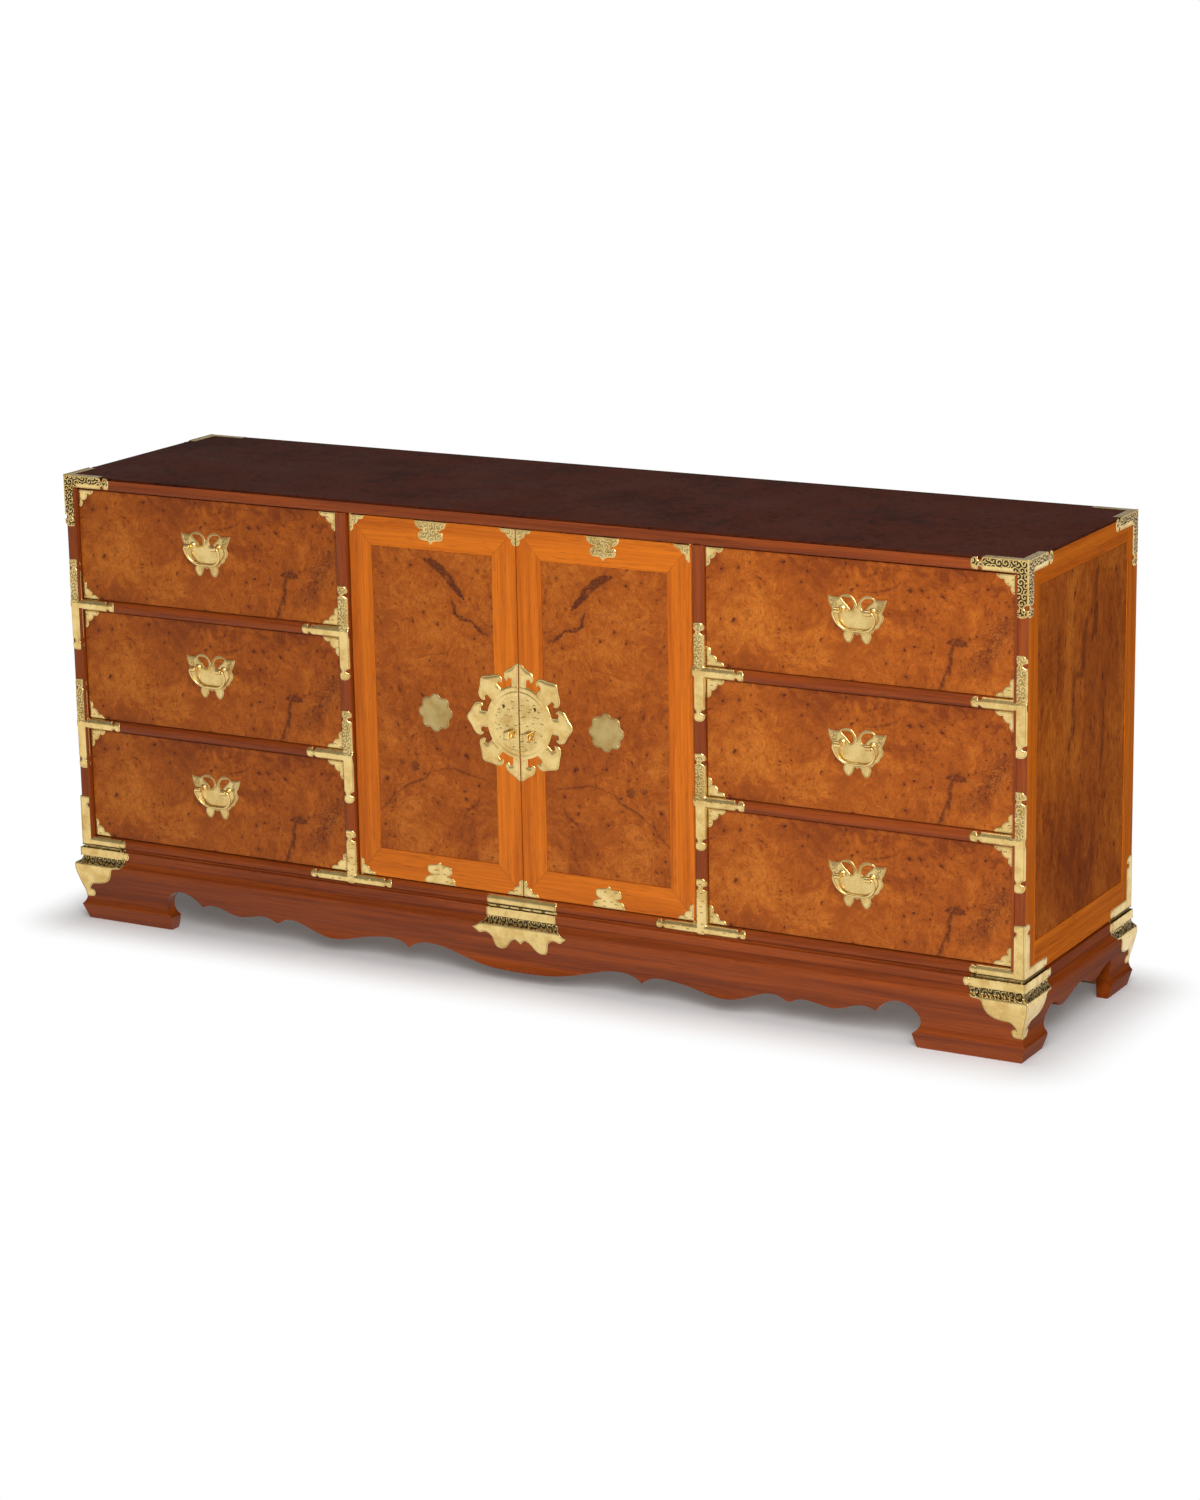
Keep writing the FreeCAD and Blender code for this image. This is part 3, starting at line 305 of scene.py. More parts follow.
def make_streak_group():
    """A dark streak in the XZ plane: a bent stroke that thins out to its ends."""
    inputs = [(name, "Vector" if name == "Centre" else "Float", value)
              for name, value in STREAK_INPUTS.items()]
    graph, source, end = new_group("Dark streak", [("Vector", "Vector")] + inputs, ("Mask", "Blur"))
    ragged = graph.noise(source["Vector"], 90.0, 5.0, 0.7)
    jitter = graph.vector("SCALE", graph.vector("SUBTRACT", ragged["Color"], NOISE_MIDDLE), 0.012)
    moved = graph.vector("SUBTRACT", graph.vector("ADD", source["Vector"], jitter), source["Centre"])
    axis = graph.split(moved)
    cosine = graph.math("COSINE", source["Turn"])
    sine = graph.math("SINE", source["Turn"])
    along = graph.plus(graph.times(axis[0], cosine), graph.times(axis[2], sine))
    across = graph.minus(graph.times(axis[2], cosine), graph.times(axis[0], sine))
    share = graph.math("DIVIDE", along, source["Half Length"])
    square = graph.times(share, share)
    wave = graph.times(graph.math("SINE", graph.times(share, 4.2)), source["Wave"])
    bow = graph.plus(graph.times(square, source["Bend"]), wave)
    gap = graph.math("ABSOLUTE", graph.minus(across, bow))
    taper = graph.math("SQRT", graph.math("SUBTRACT", 1.0, square, clamp=True))
    width = graph.times(graph.times(source["Half Width"], taper), graph.plus(ragged[0], 0.5))
    edge = graph.math("DIVIDE", gap, graph.most(width, 0.00002))
    graph.fill(end, {"Mask": graph.ramp(edge, 0.55, 1.25, 1.0, 0.0),
                     "Blur": graph.times(graph.ramp(edge, 0.5, 4.0, 1.0, 0.0), taper)})


def make_lacquer_group():
    """Slightly uneven gloss and ripple of a lacquered surface, with a duller film in places."""
    graph, source, end = new_group("Lacquer film", [("Vector", "Vector"), ("Gloss", "Float", 0.3)],
                                   ("Roughness", "Height"))
    film = graph.noise(source["Vector"], 9.0, 4.0, 0.6)
    ripple = graph.noise(source["Vector"], 260.0, 2.0, 0.5)
    spread = graph.math("MULTIPLY_ADD", graph.minus(film[0], 0.5), 0.22, source["Gloss"])
    graph.fill(end, {"Roughness": spread, "Height": ripple[0]})


def make_patina_group():
    """Old polished brass. Relief: below 0 a groove, 0 plain, 0.1 punched, over 1 engraved scrolls. The dark
    of grooves and engraving is also used as painted shade.
    """
    graph, source, end = new_group("Brass wear", [("Vector", "Vector"), ("Relief", "Float", 0.0)],
                                   ("Tarnish", "Dull", "Roughness", "Height"))
    clouds = graph.noise(source["Vector"], 38.0, 4.0, 0.62)
    spots = graph.noise(source["Vector"], 260.0, 3.0, 0.7)
    groove = graph.ramp(source["Relief"], -0.95, -0.1, 1.0, 0.0)
    punched = graph.ramp(source["Relief"], 0.04, 0.09)
    engraved = graph.math("SUBTRACT", source["Relief"], 1.0, clamp=True)
    axis = graph.split(source["Vector"])
    flat = graph.join(graph.plus(axis[0], axis[1]), axis[2], 0.0)

    def cell_place(scale):
        """Place in a cell, and the distance from its middle."""
        cells = graph.add("ShaderNodeTexVoronoi", {"Vector": flat, "Scale": scale, "Randomness": 0.8},
                          voronoi_dimensions="2D")
        local = graph.vector("SUBTRACT", flat, cells.outputs["Position"])
        return graph.split(local), graph.length(local)

    local, reach = cell_place(78.0)
    from_arc = graph.math("ABSOLUTE", graph.minus(reach, 0.0024))
    arc = graph.times(graph.ramp(from_arc, 0.0003, 0.0009, 1.0, 0.0), graph.ramp(local[1], 0.0002, 0.001))
    crescents = graph.times(arc, punched)
    local, reach = cell_place(92.0)
    turn = graph.math("MULTIPLY_ADD", reach, 1250.0, graph.math("ARCTAN2", local[1], local[0]))
    lines = graph.ramp(graph.math("SINE", turn), 0.0, 0.7)
    ground = graph.times(graph.minus(1.0, lines), engraved)
    spotted = graph.times(graph.ramp(spots[0], 0.64, 0.74), punched)
    marks = graph.most(graph.times(crescents, 0.8), graph.times(spotted, 0.4))
    height = graph.times(spots[0], graph.math("MULTIPLY_ADD", punched, 0.9, 0.1))
    sunk = graph.plus(crescents, graph.times(ground, 2.0))
    graph.fill(end, {"Tarnish": graph.most(graph.times(groove, 0.9), graph.most(marks, ground)),
                     "Dull": graph.ramp(clouds[0], 0.35, 0.75),
                     "Roughness": graph.math("MULTIPLY_ADD", clouds[0], 0.16, 0.16),
                     "Height": graph.minus(height, sunk)})


# Materials


def new_material(name):
    """A node material with its graph and its principled shader."""
    material = bpy.data.materials.new(name)
    material.use_nodes = True
    return material, Graph(material.node_tree), material.node_tree.nodes["Principled BSDF"]


def object_vector(graph):
    return graph.add("ShaderNodeTexCoord").outputs["Object"]


def add_lacquer(graph, shader, colour, vector, gloss, shine, pores=None):
    """Colour, uneven roughness, reflection and a fine bump of a lacquered wood."""
    film = graph.group("Lacquer film", {"Vector": vector, "Gloss": gloss})
    height = film["Height"]
    if pores is not None:
        height = graph.math("MULTIPLY_ADD", pores, -1.0, height)
    bump = graph.add("ShaderNodeBump", {"Strength": 0.12, "Distance": 0.0006, "Height": height})
    graph.fill(shader, {"Base Color": colour, "Roughness": film["Roughness"], "Specular IOR Level": shine,
                        "Normal": bump.outputs[0]})


PORE_COLOUR = (0.05, 0.018, 0.008, 1.0)


def fibre_colour(graph, vector, light, dark):
    """Colour and pores of straight-grained wood whose grain runs along Z of the vector."""
    grain = graph.group("Straight grain", {"Vector": vector})
    share = graph.math("MULTIPLY_ADD", grain["Fibre"], 0.45, graph.times(grain["Tone"], 0.55))
    toned = graph.mix(share, light, dark)
    return graph.mix(graph.times(grain["Pores"], 0.5), toned, PORE_COLOUR), grain["Pores"]


# turns that lay the Z grain of the group along each axis
GRAIN_TURNS = {"x": (0, math.pi / 2, 0), "y": (math.pi / 2, 0, 0), "z": (0, 0, 0)}
VENEER_GLOSS = 0.36


def fibre_material(name, light, dark, along, gloss=0.34, shine=0.2):
    """Straight-grained wood whose grain runs along an axis of the object."""
    material, graph, shader = new_material(name)
    vector = graph.placed(object_vector(graph), rotation=GRAIN_TURNS[along])
    colour, pores = fibre_colour(graph, vector, light, dark)
    add_lacquer(graph, shader, colour, vector, gloss, shine, pores)
    return material


def add_streak(graph, vector, shape):
    return graph.group("Dark streak", {"Vector": vector, **dict(zip(STREAK_INPUTS, shape))})


def burl_colour(graph, vector, colours, streaks, patches, plume):
    """Colour of burl veneer in the vector's XZ plane, with its streaks and its light and dark patches."""
    light, mid, dark, knot = colours
    figure = graph.group("Burl figure", {"Vector": vector})
    cloud = figure["Cloud"]
    for (across, up), (half_across, half_up), lift in patches:
        spot = graph.placed(vector, (-across / half_across, 0, -up / half_up),
                            scale=(1 / half_across, 0, 1 / half_up))
        cloud = graph.plus(cloud, graph.ramp(graph.length(spot), 0.0, 1.0, lift, 0.0))
    tone = graph.mix(graph.ramp(cloud, -0.4, 0.6), dark, mid)
    tone = graph.mix(graph.ramp(cloud, 0.35, 1.25), tone, light)
    for name, share, tint in (("Figure", 0.2, dark), ("Speckle", 0.38, dark), ("Halo", 0.4, dark),
                              ("Knots", 0.85, knot)):
        tone = graph.mix(graph.times(figure[name], share), tone, tint)
    for *shape, strength in streaks:
        streak = add_streak(graph, vector, shape)
        tone = graph.mix(graph.times(streak["Blur"], 0.3 * strength), tone, dark)
        broken = graph.ramp(figure["Speckle"], -0.3, 0.8, 0.3 * strength, strength)
        tone = graph.mix(graph.times(streak["Mask"], broken), tone, knot)
    if plume is not None:
        *shape, strength = plume
        streak = add_streak(graph, vector, shape)
        waves = graph.math("SINE", graph.times(graph.noise(vector, 70.0, 2.0, 0.5, 1.2)[0], 70.0))
        strands = graph.ramp(waves, -0.5, 0.8, 0.15, 1.0)
        broken = graph.times(strands, graph.ramp(figure["Speckle"], -0.5, 0.6))
        feathered = graph.times(broken, streak["Blur"])
        tone = graph.mix(graph.times(feathered, strength), tone, knot)
    return tone


def burl_material(name, vector_of, colours, streaks=(), patches=(), plume=None, shine=0.16):
    """Lacquered burl veneer, laid out by a function that turns the object's places into the veneer's."""
    material, graph, shader = new_material(name)
    vector = vector_of(graph, object_vector(graph))
    colour = burl_colour(graph, vector, colours, streaks, patches, plume)
    add_lacquer(graph, shader, colour, vector, VENEER_GLOSS, shine)
    return material


def brass_material(brass):
    """Polished brass that is dull in places, tarnished in its grooves, and darkened with painted shade in its
    keyholes and on some upper parts.
    """
    material, graph, shader = new_material("embossed_brass")
    relief = graph.add("ShaderNodeAttribute", attribute_name="relief").outputs["Fac"]
    wear = graph.group("Brass wear", {"Vector": object_vector(graph), "Relief": relief})
    tone = graph.mix(wear["Tarnish"], graph.mix(wear["Dull"], brass.bright, brass.dull), brass.dark)
    bump = graph.add("ShaderNodeBump", {"Strength": 0.1, "Distance": 0.0004, "Height": wear["Height"]})
    graph.fill(shader, {
        "Base Color": tone, "Specular IOR Level": 0.1, "Normal": bump.outputs[0],
        "Roughness": graph.math("MULTIPLY_ADD", wear["Tarnish"], 0.3, wear["Roughness"]),
        "Metallic": graph.math("MULTIPLY_ADD", wear["Tarnish"], -0.65, 1.0)})
    return material


# Outlines and sheets

# facing: across, up and outward axis of a flat face, and the outward sign
FACINGS = {"front": (0, 2, 1, -1), "back": (0, 2, 1, 1), "right": (1, 2, 0, 1), "left": (1, 2, 0, -1),
           "up": (0, 1, 2, 1)}
CORNER_TURN = math.radians(52)
SAME_PLACE = 5


def triangles_of(node):
    """The triangles of a solid as an array of three corners each."""
    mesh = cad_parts[node].data
    places = np.empty(len(mesh.vertices) * 3)
    mesh.vertices.foreach_get("co", places)
    mesh.calc_loop_triangles()
    corners = np.empty(len(mesh.loop_triangles) * 3, dtype=int)
    mesh.loop_triangles.foreach_get("vertices", corners)
    return places.reshape(-1, 3)[corners].reshape(-1, 3, 3)


def islands_of(node):
    """The boxes of a solid's separate pieces, as pairs of lowest and highest corners."""
    names = {}
    def root(key):
        while names[key] != key:
            key = names[key]
        return key
    triangles = triangles_of(node)
    keyed = [[tuple(corner) for corner in np.round(triangle, SAME_PLACE)] for triangle in triangles]
    for corners in keyed:
        for corner in corners:
            names.setdefault(corner, corner)
        first = root(corners[0])
        for corner in corners[1:]:
            names[root(corner)] = first
    groups = {}
    for corners in keyed:
        groups.setdefault(root(corners[0]), []).extend(corners)
    return [(np.min(points, axis=0), np.max(points, axis=0)) for points in groups.values()]


def signed_area(loop):
    following = np.roll(loop, -1, axis=0)
    return 0.5 * (loop[:, 0] * following[:, 1] - loop[:, 1] * following[:, 0]).sum()


def anticlockwise(loop):
    """A loop as an array that runs anticlockwise."""
    loop = np.array(loop)
    return loop[::-1] if signed_area(loop) < 0 else loop


def open_edges(faces):
    """The edges of faces that no other face shares, as pairs of corners."""
    counts = {}
    for corners in faces:
        for first, second in zip(corners, [*corners[1:], corners[0]]):
            if counts.get((second, first)):
                counts[second, first] -= 1
            else:
                counts[first, second] = counts.get((first, second), 0) + 1
    return [edge for edge, count in counts.items() if count]


def chained(edges):
    """The closed loops that edges make from corner to corner."""
    following = {}
    for first, second in edges:
        following.setdefault(first, []).append(second)
    loops = []
    while following:
        start = next(iter(following))
        loop = [start]
        point = following[start].pop()
        while point != start:
            loop.append(point)
            point = following[point].pop()
        following = {key: value for key, value in following.items() if value}
        loops.append(loop)
    return loops


def flat_outlines(node, facing, level):
    """The outlines of a solid's flat faces at a level: for each face its outer loop and then its holes."""
    across, up, out, sign = FACINGS[facing]
    triangles = triangles_of(node)
    normals = np.cross(triangles[:, 1] - triangles[:, 0], triangles[:, 2] - triangles[:, 0])
    normals /= np.maximum(np.linalg.norm(normals, axis=1), 1e-15)[:, None]
    flat = (normals[:, out] * sign > 0.99) & (np.abs(triangles[:, :, out] - level).max(axis=1) < 5e-5)
    faces = []
    for triangle in np.round(triangles[flat][:, :, [across, up]], SAME_PLACE):
        corners = [tuple(corner) for corner in triangle]
        (x, y), (x1, y1), (x2, y2) = corners
        clockwise = (x1 - x) * (y2 - y) < (x2 - x) * (y1 - y)
        faces.append(corners[::-1] if clockwise else corners)
    loops = [np.array(loop) for loop in chained(open_edges(faces))]
    outer = [[loop] for loop in loops if signed_area(loop) > 0]
    for hole in [loop for loop in loops if signed_area(loop) < 0]:
        for face in outer:
            if is_inside(hole[:1], [face[0]])[0]:
                face.append(hole)
    return outer


def segments(loops):
    starts = np.concatenate(loops)
    ends = np.concatenate([np.roll(loop, -1, axis=0) for loop in loops])
    return starts, ends


def is_inside(points, loops):
    """Whether each point lies inside the loops, counting crossings."""
    odd = np.zeros(len(points), dtype=bool)
    for start, end in zip(*segments(loops)):
        if start[1] == end[1]:
            continue
        spans = (start[1] > points[:, 1]) != (end[1] > points[:, 1])
        crossing = start[0] + (end[0] - start[0]) * (points[:, 1] - start[1]) / (end[1] - start[1])
        odd ^= spans & (points[:, 0] < crossing)
    return odd


def edge_distance(points, loops):
    """Distance of each point from the loops."""
    best = np.full(len(points), np.inf)
    for start, end in zip(*segments(loops)):
        step = end - start
        along = np.clip(((points - start) @ step) / max(step @ step, 1e-18), 0, 1)
        gap = points - start - along[:, None] * step
        best = np.minimum(best, (gap ** 2).sum(axis=1))
    return np.sqrt(best)


def eased(loop, step, corner_turn=CORNER_TURN):
    """A loop with its short facets rounded into curves and its real corners kept."""
    count = len(loop)
    after = np.roll(loop, -1, axis=0) - loop
    lengths = np.linalg.norm(after, axis=1)
    units = after / lengths[:, None]
    tangents = []
    for number in range(count):
        before = units[number - 1]
        turn = math.acos(max(-1.0, min(1.0, float(before @ units[number]))))
        if turn > corner_turn:
            tangents.append(None)
            continue
        direction = before + units[number]
        tangents.append(direction / np.linalg.norm(direction) * min(lengths[number - 1], lengths[number]))
    points = []
    for number in range(count):
        start = loop[number]
        chord = after[number]
        leave = tangents[number]
        arrive = tangents[(number + 1) % count]
        if leave is None and arrive is None:
            leave = arrive = chord
        elif leave is None:
            leave = 1.5 * chord - 0.5 * arrive
        elif arrive is None:
            arrive = 1.5 * chord - 0.5 * leave
        pieces = max(1, math.ceil(lengths[number] / step))
        for share in np.arange(pieces) / pieces:
            square = share * share
            cube = square * share
            points.append(start + chord * (3 * square - 2 * cube) + leave * (cube - 2 * square + share)
                          + arrive * (cube - square))
    return np.array(points)


def opened(loop, gap=0.0007):
    """A loop whose narrow slits are a little wider."""
    loop = loop.copy()
    for number, following in enumerate(np.roll(np.arange(len(loop)), -1)):
        first = loop[number - 1] - loop[number]
        second = loop[following] - loop[number]
        if first @ second > 0.9 * np.linalg.norm(first) * np.linalg.norm(second):
            apart = (first - second) * gap / np.linalg.norm(first - second)
            loop[number - 1] += apart
            loop[following] -= apart
    return loop


def triangulated(loops, inner):
    """Points and triangles that fill the loops, through the inner points."""
    points = np.concatenate(list(loops) + ([inner] if len(inner) else []))
    edges = []
    start = 0
    for loop in loops:
        numbers = list(range(start, start + len(loop)))
        edges += list(zip(numbers, numbers[1:] + numbers[:1]))
        start += len(loop)
    found = delaunay_2d_cdt([Vector(point) for point in points], edges, [], 1, 1e-7, False)
    places = np.array([tuple(point) for point in found[0]])
    corners = np.array([list(face) for face in found[2]])
    kept = is_inside(places[corners].mean(axis=1), loops)
    return places, corners[kept]


def lattice(low, high, spacing):
    """Staggered rows of points in a box."""
    rows = np.arange(low[1], high[1] + spacing, spacing * 0.87)
    columns = np.arange(low[0], high[0] + spacing, spacing)
    points = [(column + (spacing / 2 if number % 2 else 0), row)
              for number, row in enumerate(rows) for column in columns]
    return np.array(points)


def smooth_step(value, low, high):
    share = np.clip((value - low) / (high - low), 0, 1)
    return share * share * (3 - 2 * share)


def row_faces(rows, steps, ring=False):
    """Faces between rows of points, each row closed, with a face at both ends or joined to a ring."""
    faces = []
    for row in range(rows if ring else rows - 1):
        here = row * steps
        ahead = (row + 1) % rows * steps
        for number in range(steps):
            following = (number + 1) % steps
            faces.append([here + number, here + following, ahead + following, ahead + number])
    if not ring:
        faces += [list(range(steps)), list(range((rows - 1) * steps, rows * steps))]
    return faces


class Shell:
    """Gathers closed pieces of one object, with the relief of each point."""

    def __init__(self):
        self.points = []
        self.faces = []
        self.relief = []

    def add(self, points, faces, relief=None):
        start = len(self.points)
        self.points += [tuple(point) for point in points]
        self.faces += [[start + number for number in face] for face in faces]
        self.relief += list(relief) if relief is not None else [0.0] * len(points)

    def finish(self, name, material, sharp=math.radians(38)):
        """One smooth-shaded mesh object, its faces turned outward."""
        mesh = bpy.data.meshes.new(name)
        mesh.from_pydata(np.clip(self.points, *CAD_BOX).tolist(), [], self.faces)
        work = bmesh.new()
        work.from_mesh(mesh)
        bmesh.ops.recalc_face_normals(work, faces=work.faces)
        work.to_mesh(mesh)
        work.free()
        layer = mesh.attributes.new("relief", "FLOAT", "POINT")
        layer.data.foreach_set("value", np.array(self.relief, dtype=np.float32))
        mesh.polygons.foreach_set("use_smooth", [True] * len(mesh.polygons))
        mesh.set_sharp_from_angle(angle=sharp)
        mesh.materials.append(material)
        item = bpy.data.objects.new(name, mesh)
        bpy.context.scene.collection.objects.link(item)
        return item


# distances from the outline of rows of points along an edge and its groove
RIM_OFFSETS = (0.0005, 0.0012, 0.0019, 0.0026)
BACK_RELIEF = -0.5


def inset(loop, distance):
    """The points of a loop moved inward."""
    tangent = np.roll(loop, -1, axis=0) - np.roll(loop, 1, axis=0)
    inward = np.column_stack((-tangent[:, 1], tangent[:, 0]))
    inward /= np.maximum(np.linalg.norm(inward, axis=1), 1e-12)[:, None]
    return loop + inward * distance


def filled(loops, places, digits):
    """Triangles of point numbers that fill loops of point numbers, by the points' places."""
    numbers = {}
    rings = []
    for loop in loops:
        ring = []
        for number in loop:
            spot = tuple(np.round(places[number], digits))
            if spot not in numbers:
                numbers[spot] = number
                ring.append(spot)
        rings.append(np.array(ring))
    points, triangles = triangulated(rings, np.empty((0, 2)))
    keys = [numbers[tuple(np.round(point, digits))] for point in points]
    return [[keys[number] for number in corners] for corners in triangles]


def closed_faces(triangles, flat, digits=7, bent=False):
    """The points that a sheet's back needs, and the faces of its front, its edge and its back."""
    edges = open_edges(triangles)
    border = list(range(len(flat))) if bent else sorted({number for edge in edges for number in edge})
    back = {number: len(flat) + place for place, number in enumerate(border)}
    faces = [list(corners) for corners in triangles]
    faces += [[first, second, back[second], back[first]] for first, second in edges]
    back_triangles = triangles if bent else filled(chained(edges), flat, digits)
    faces += [[back[number] for number in reversed(corners)] for corners in back_triangles]
    return border, faces


def add_sheet(shell, loops, surface, pattern, spacing, inner=None, bent=False):
    """A closed sheet: a patterned front, its edge and a plain back, which follows the front if it's bent."""
    outline = [eased(loop, spacing) for loop in loops]
    if inner is None:
        grid = lattice(outline[0].min(axis=0), outline[0].max(axis=0), spacing)
        inner = grid[is_inside(grid, outline)]
    parts = [inner[edge_distance(inner, outline) > RIM_OFFSETS[-1] + spacing * 0.5]]
    for offset in RIM_OFFSETS:
        row = np.concatenate([inset(loop, offset) for loop in outline])
        gap = edge_distance(row, outline)
        parts.append(row[is_inside(row, outline) & (gap > offset * 0.93)])
    points, triangles = triangulated(outline, np.concatenate(parts))
    height, relief = pattern(points, edge_distance(points, outline))
    border, faces = closed_faces(triangles, points, bent=bent)
    back = surface(points[border], np.zeros(len(border)))
    shell.add(np.concatenate([surface(points, height), back]), faces,
              np.concatenate([relief, np.full(len(border), BACK_RELIEF)]))
    return outline


def flat_surface(facing, back_level):
    """Lays a sheet on a flat face: the height grows outward from its back."""
    across, up, out, sign = FACINGS[facing]

    def lay(points, height):
        places = np.empty((len(points), 3))
        places[:, across] = points[:, 0]
        places[:, up] = points[:, 1]
        places[:, out] = back_level + sign * height
        return places
    return lay


# Relief patterns


def rim(depth, groove_depth=0.0019):
    """Height of a plate with an eased edge, and the groove along its outline."""
    edge = BRASS * (0.45 + 0.55 * smooth_step(depth, 0.0, 0.0009))
    return edge, smooth_step(np.abs(depth - groove_depth), 0.0008, 0.0003)


def plate_pattern(emboss, engraved=0.0, base=0.1):
    """A plate with a groove along its outline, punched or engraved inside it."""
    def shape(points, depth):
        edge, groove = rim(depth)
        inside = smooth_step(depth, 0.0022, 0.0026)
        field = np.where(inside > 0.5, 1.0 + engraved, base) if engraved else np.full(len(points), base)
        return edge - 0.8 * emboss * groove, np.where(groove > 0.4, -0.8 * groove, field)
    return shape


def butterfly_pattern(emboss, loop):
    """A flat smooth body, domed wings with a ridge to their tips, painted shade on the upper tips, and a
    groove inside the outline.
    """
    low = loop.min(axis=0)
    high = loop.max(axis=0)
    centre = (low + high) / 2
    half = (high - low) / 2

    def shape(points, depth):
        across = np.abs(points[:, 0] - centre[0]) / half[0]
        up = (points[:, 1] - centre[1]) / half[1]
        edge, groove = rim(depth, 0.0015)
        body = smooth_step(np.hypot(across / 0.62, (up + 0.2) / 0.5), 1.15, 0.85)
        ridge = smooth_step(np.abs(up - 0.18 - 0.62 * (across - 0.4)), 0.3, 0.0)
        ridge = ridge * smooth_step(across, 0.5, 0.7)
        swell = 0.0010 * smooth_step(depth, 0.0, 0.010) * (1 - body) + 0.0006 * body + 0.0014 * ridge
        # the upper wing tips get the dark engraved ground as painted shade, for the dark that the polished
        # tips mirror from above
        tips = (across > 0.66) & (up > 0.3) & (depth > 0.002)
        return edge + swell - 0.7 * emboss * groove, np.where(tips, 1.45, -0.28 - 0.3 * groove)
    return shape


def lock_pattern(emboss, centre, radius):
    """Two raised rings round an engraved field, with lobes outside them."""
    def shape(points, depth):
        local = points - centre
        reach = np.linalg.norm(local, axis=1) / radius
        angle = np.arctan2(local[:, 1], local[:, 0])
        outside = smooth_step(reach, 0.6, 0.66)
        edge, groove = rim(depth, 0.0021)
        groove = groove * outside
        rings = np.maximum(smooth_step(np.abs(reach - 0.58), 0.042, 0.0),
                           smooth_step(np.abs(reach - 0.5), 0.042, 0.0))
        petals = smooth_step(np.cos(angle * 16.0), 0.2, 0.8) * smooth_step(np.abs(reach - 0.42), 0.06, 0.02)
        swell = 0.0012 * smooth_step(reach, 0.66, 0.1) + 0.0014 * smooth_step(depth, 0.0, 0.009) * outside
        relief = np.where(groove > 0.4, -0.5 * groove, np.where(reach < 0.46, 1.12, 0.0))
        return edge + swell + 0.0009 * rings + 1.5 * emboss * (petals - 0.6 * groove), relief
    return shape


def keyhole_painted_shade(points, depth):
    """A thin sheet of painted shade, as dark as the tarnish, for the shade inside a keyhole."""
    return np.full(len(points), 0.0003), np.full(len(points), -2.0)


# Beading on the front


class Bead(namedtuple("Bead", "axis low high low_edge high_edge span")):
    """A rounded bar on the front: its range across, and how far its two edges round back."""

    def depth(self, place):
        """How far back the surface lies at places across the bead."""
        back = np.zeros(len(place))
        for gap, (reach, depth) in ((place - self.low, self.low_edge), (self.high - place, self.high_edge)):
            if reach:
                share = np.clip(1 - gap / reach, 0, 1)
                back = np.maximum(back, depth * (1 - np.sqrt(1 - share ** 2.2)))
        return back


# how a bead rounds back at an edge: width and depth
SQUARE_EDGE = (0.0, 0.0)
OUTER_CORNER_EDGE = (0.0055, 0.0034)
INNER_CORNER_WIDTH = 0.013
BOTTOM_RAIL_EDGE = (0.006, 0.004)
BOTTOM_RAIL_WIDTH = 0.010
TOP_RAIL_EDGE = (0.008, 0.005)


def front_beads(wood):
    """Every bead of the front frame, by name."""
    depth = wood.bead_depth
    lap = wood.bead_lap

    def round_bar(axis, low, high, span):
        half = (high - low) / 2
        return Bead(axis, low, high, (half, depth), (half, depth), span)

    beads = {}
    for side, sign in SIDES.items():
        low, high = sorted((sign * DIVIDER_INNER, sign * (DIVIDER_OUTER + lap)))
        beads[f"{side}_divider"] = round_bar("z", low, high, (FLOOR_LEVEL, TOP_RAIL_LOW))
        low, high = sorted((sign * (INNER_HALF - lap), sign * HALF_WIDTH))
        edges = ((INNER_CORNER_WIDTH, depth), OUTER_CORNER_EDGE)[::sign]
        beads[f"{side}_corner"] = Bead("z", low, high, *edges, (BASE_HEIGHT, LIP_LEVEL))
        for number, top in enumerate(RAIL_TOPS):
            span = sorted((sign * DIVIDER_OUTER, sign * INNER_HALF))
            beads[f"{side}_rail_{number}"] = round_bar("x", top - RAIL_HEIGHT - lap, top + lap, span)
    span = (-INNER_HALF, INNER_HALF)
    beads["bottom_rail"] = Bead("x", BASE_HEIGHT, FLOOR_LEVEL, BOTTOM_RAIL_EDGE,
                                (BOTTOM_RAIL_WIDTH, depth), span)
    beads["top_rail"] = Bead("x", TOP_RAIL_LOW, LIP_LEVEL, TOP_RAIL_EDGE, SQUARE_EDGE, span)
    return beads


# how far a bead reaches past its edges and its ends when a sheet is laid over it
PAST_EDGE = 0.0005
PAST_END = 0.03


def skin(points, beads, square_corners=False):
    """How far behind the front plane the wood lies at points of the front."""
    deepest = max(max(bead.low_edge[1], bead.high_edge[1]) for bead in beads.values())
    back = np.full(len(points), deepest)
    for name, bead in beads.items():
        place, along = points.T if bead.axis == "z" else points.T[::-1]
        within = (place > bead.low - PAST_EDGE) & (place < bead.high + PAST_EDGE)
        within &= (along > bead.span[0] - PAST_END) & (along < bead.span[1] + PAST_END)
        depth = bead.depth(np.clip(place, bead.low, bead.high))
        if square_corners and name.endswith("_corner"):
            depth = np.where(np.abs(place) > (HALF_WIDTH + INNER_HALF) / 2, 0.0, depth)
        back = np.where(within, np.minimum(back, depth), back)
    if square_corners:
        back = np.where((np.abs(points[:, 0]) > HALF_WIDTH) | (points[:, 1] > LIP_LEVEL), 0.0, back)
    return back


def wrapped(beads, square_corners=False):
    """Lays a sheet over the beading: the height grows outward from the wood."""
    def lay(points, height):
        back = skin(points, beads, square_corners)
        return np.column_stack((points[:, 0], FRONT + back - height, points[:, 1]))
    return lay


def add_bead_bar(shell, bead, back_plane, steps=18):
    """A wooden bar with the bead's rounded front and a flat back."""
    places = np.linspace(bead.low, bead.high, steps + 1)
    ring = list(zip(places, FRONT + bead.depth(places)))
    ring += [(bead.high, back_plane), (bead.low, back_plane)]
    points = [(place, front, end) if bead.axis == "z" else (end, front, place)
              for end in bead.span for place, front in ring]
    shell.add(points, row_faces(2, len(ring)))


# Turned and bent metal


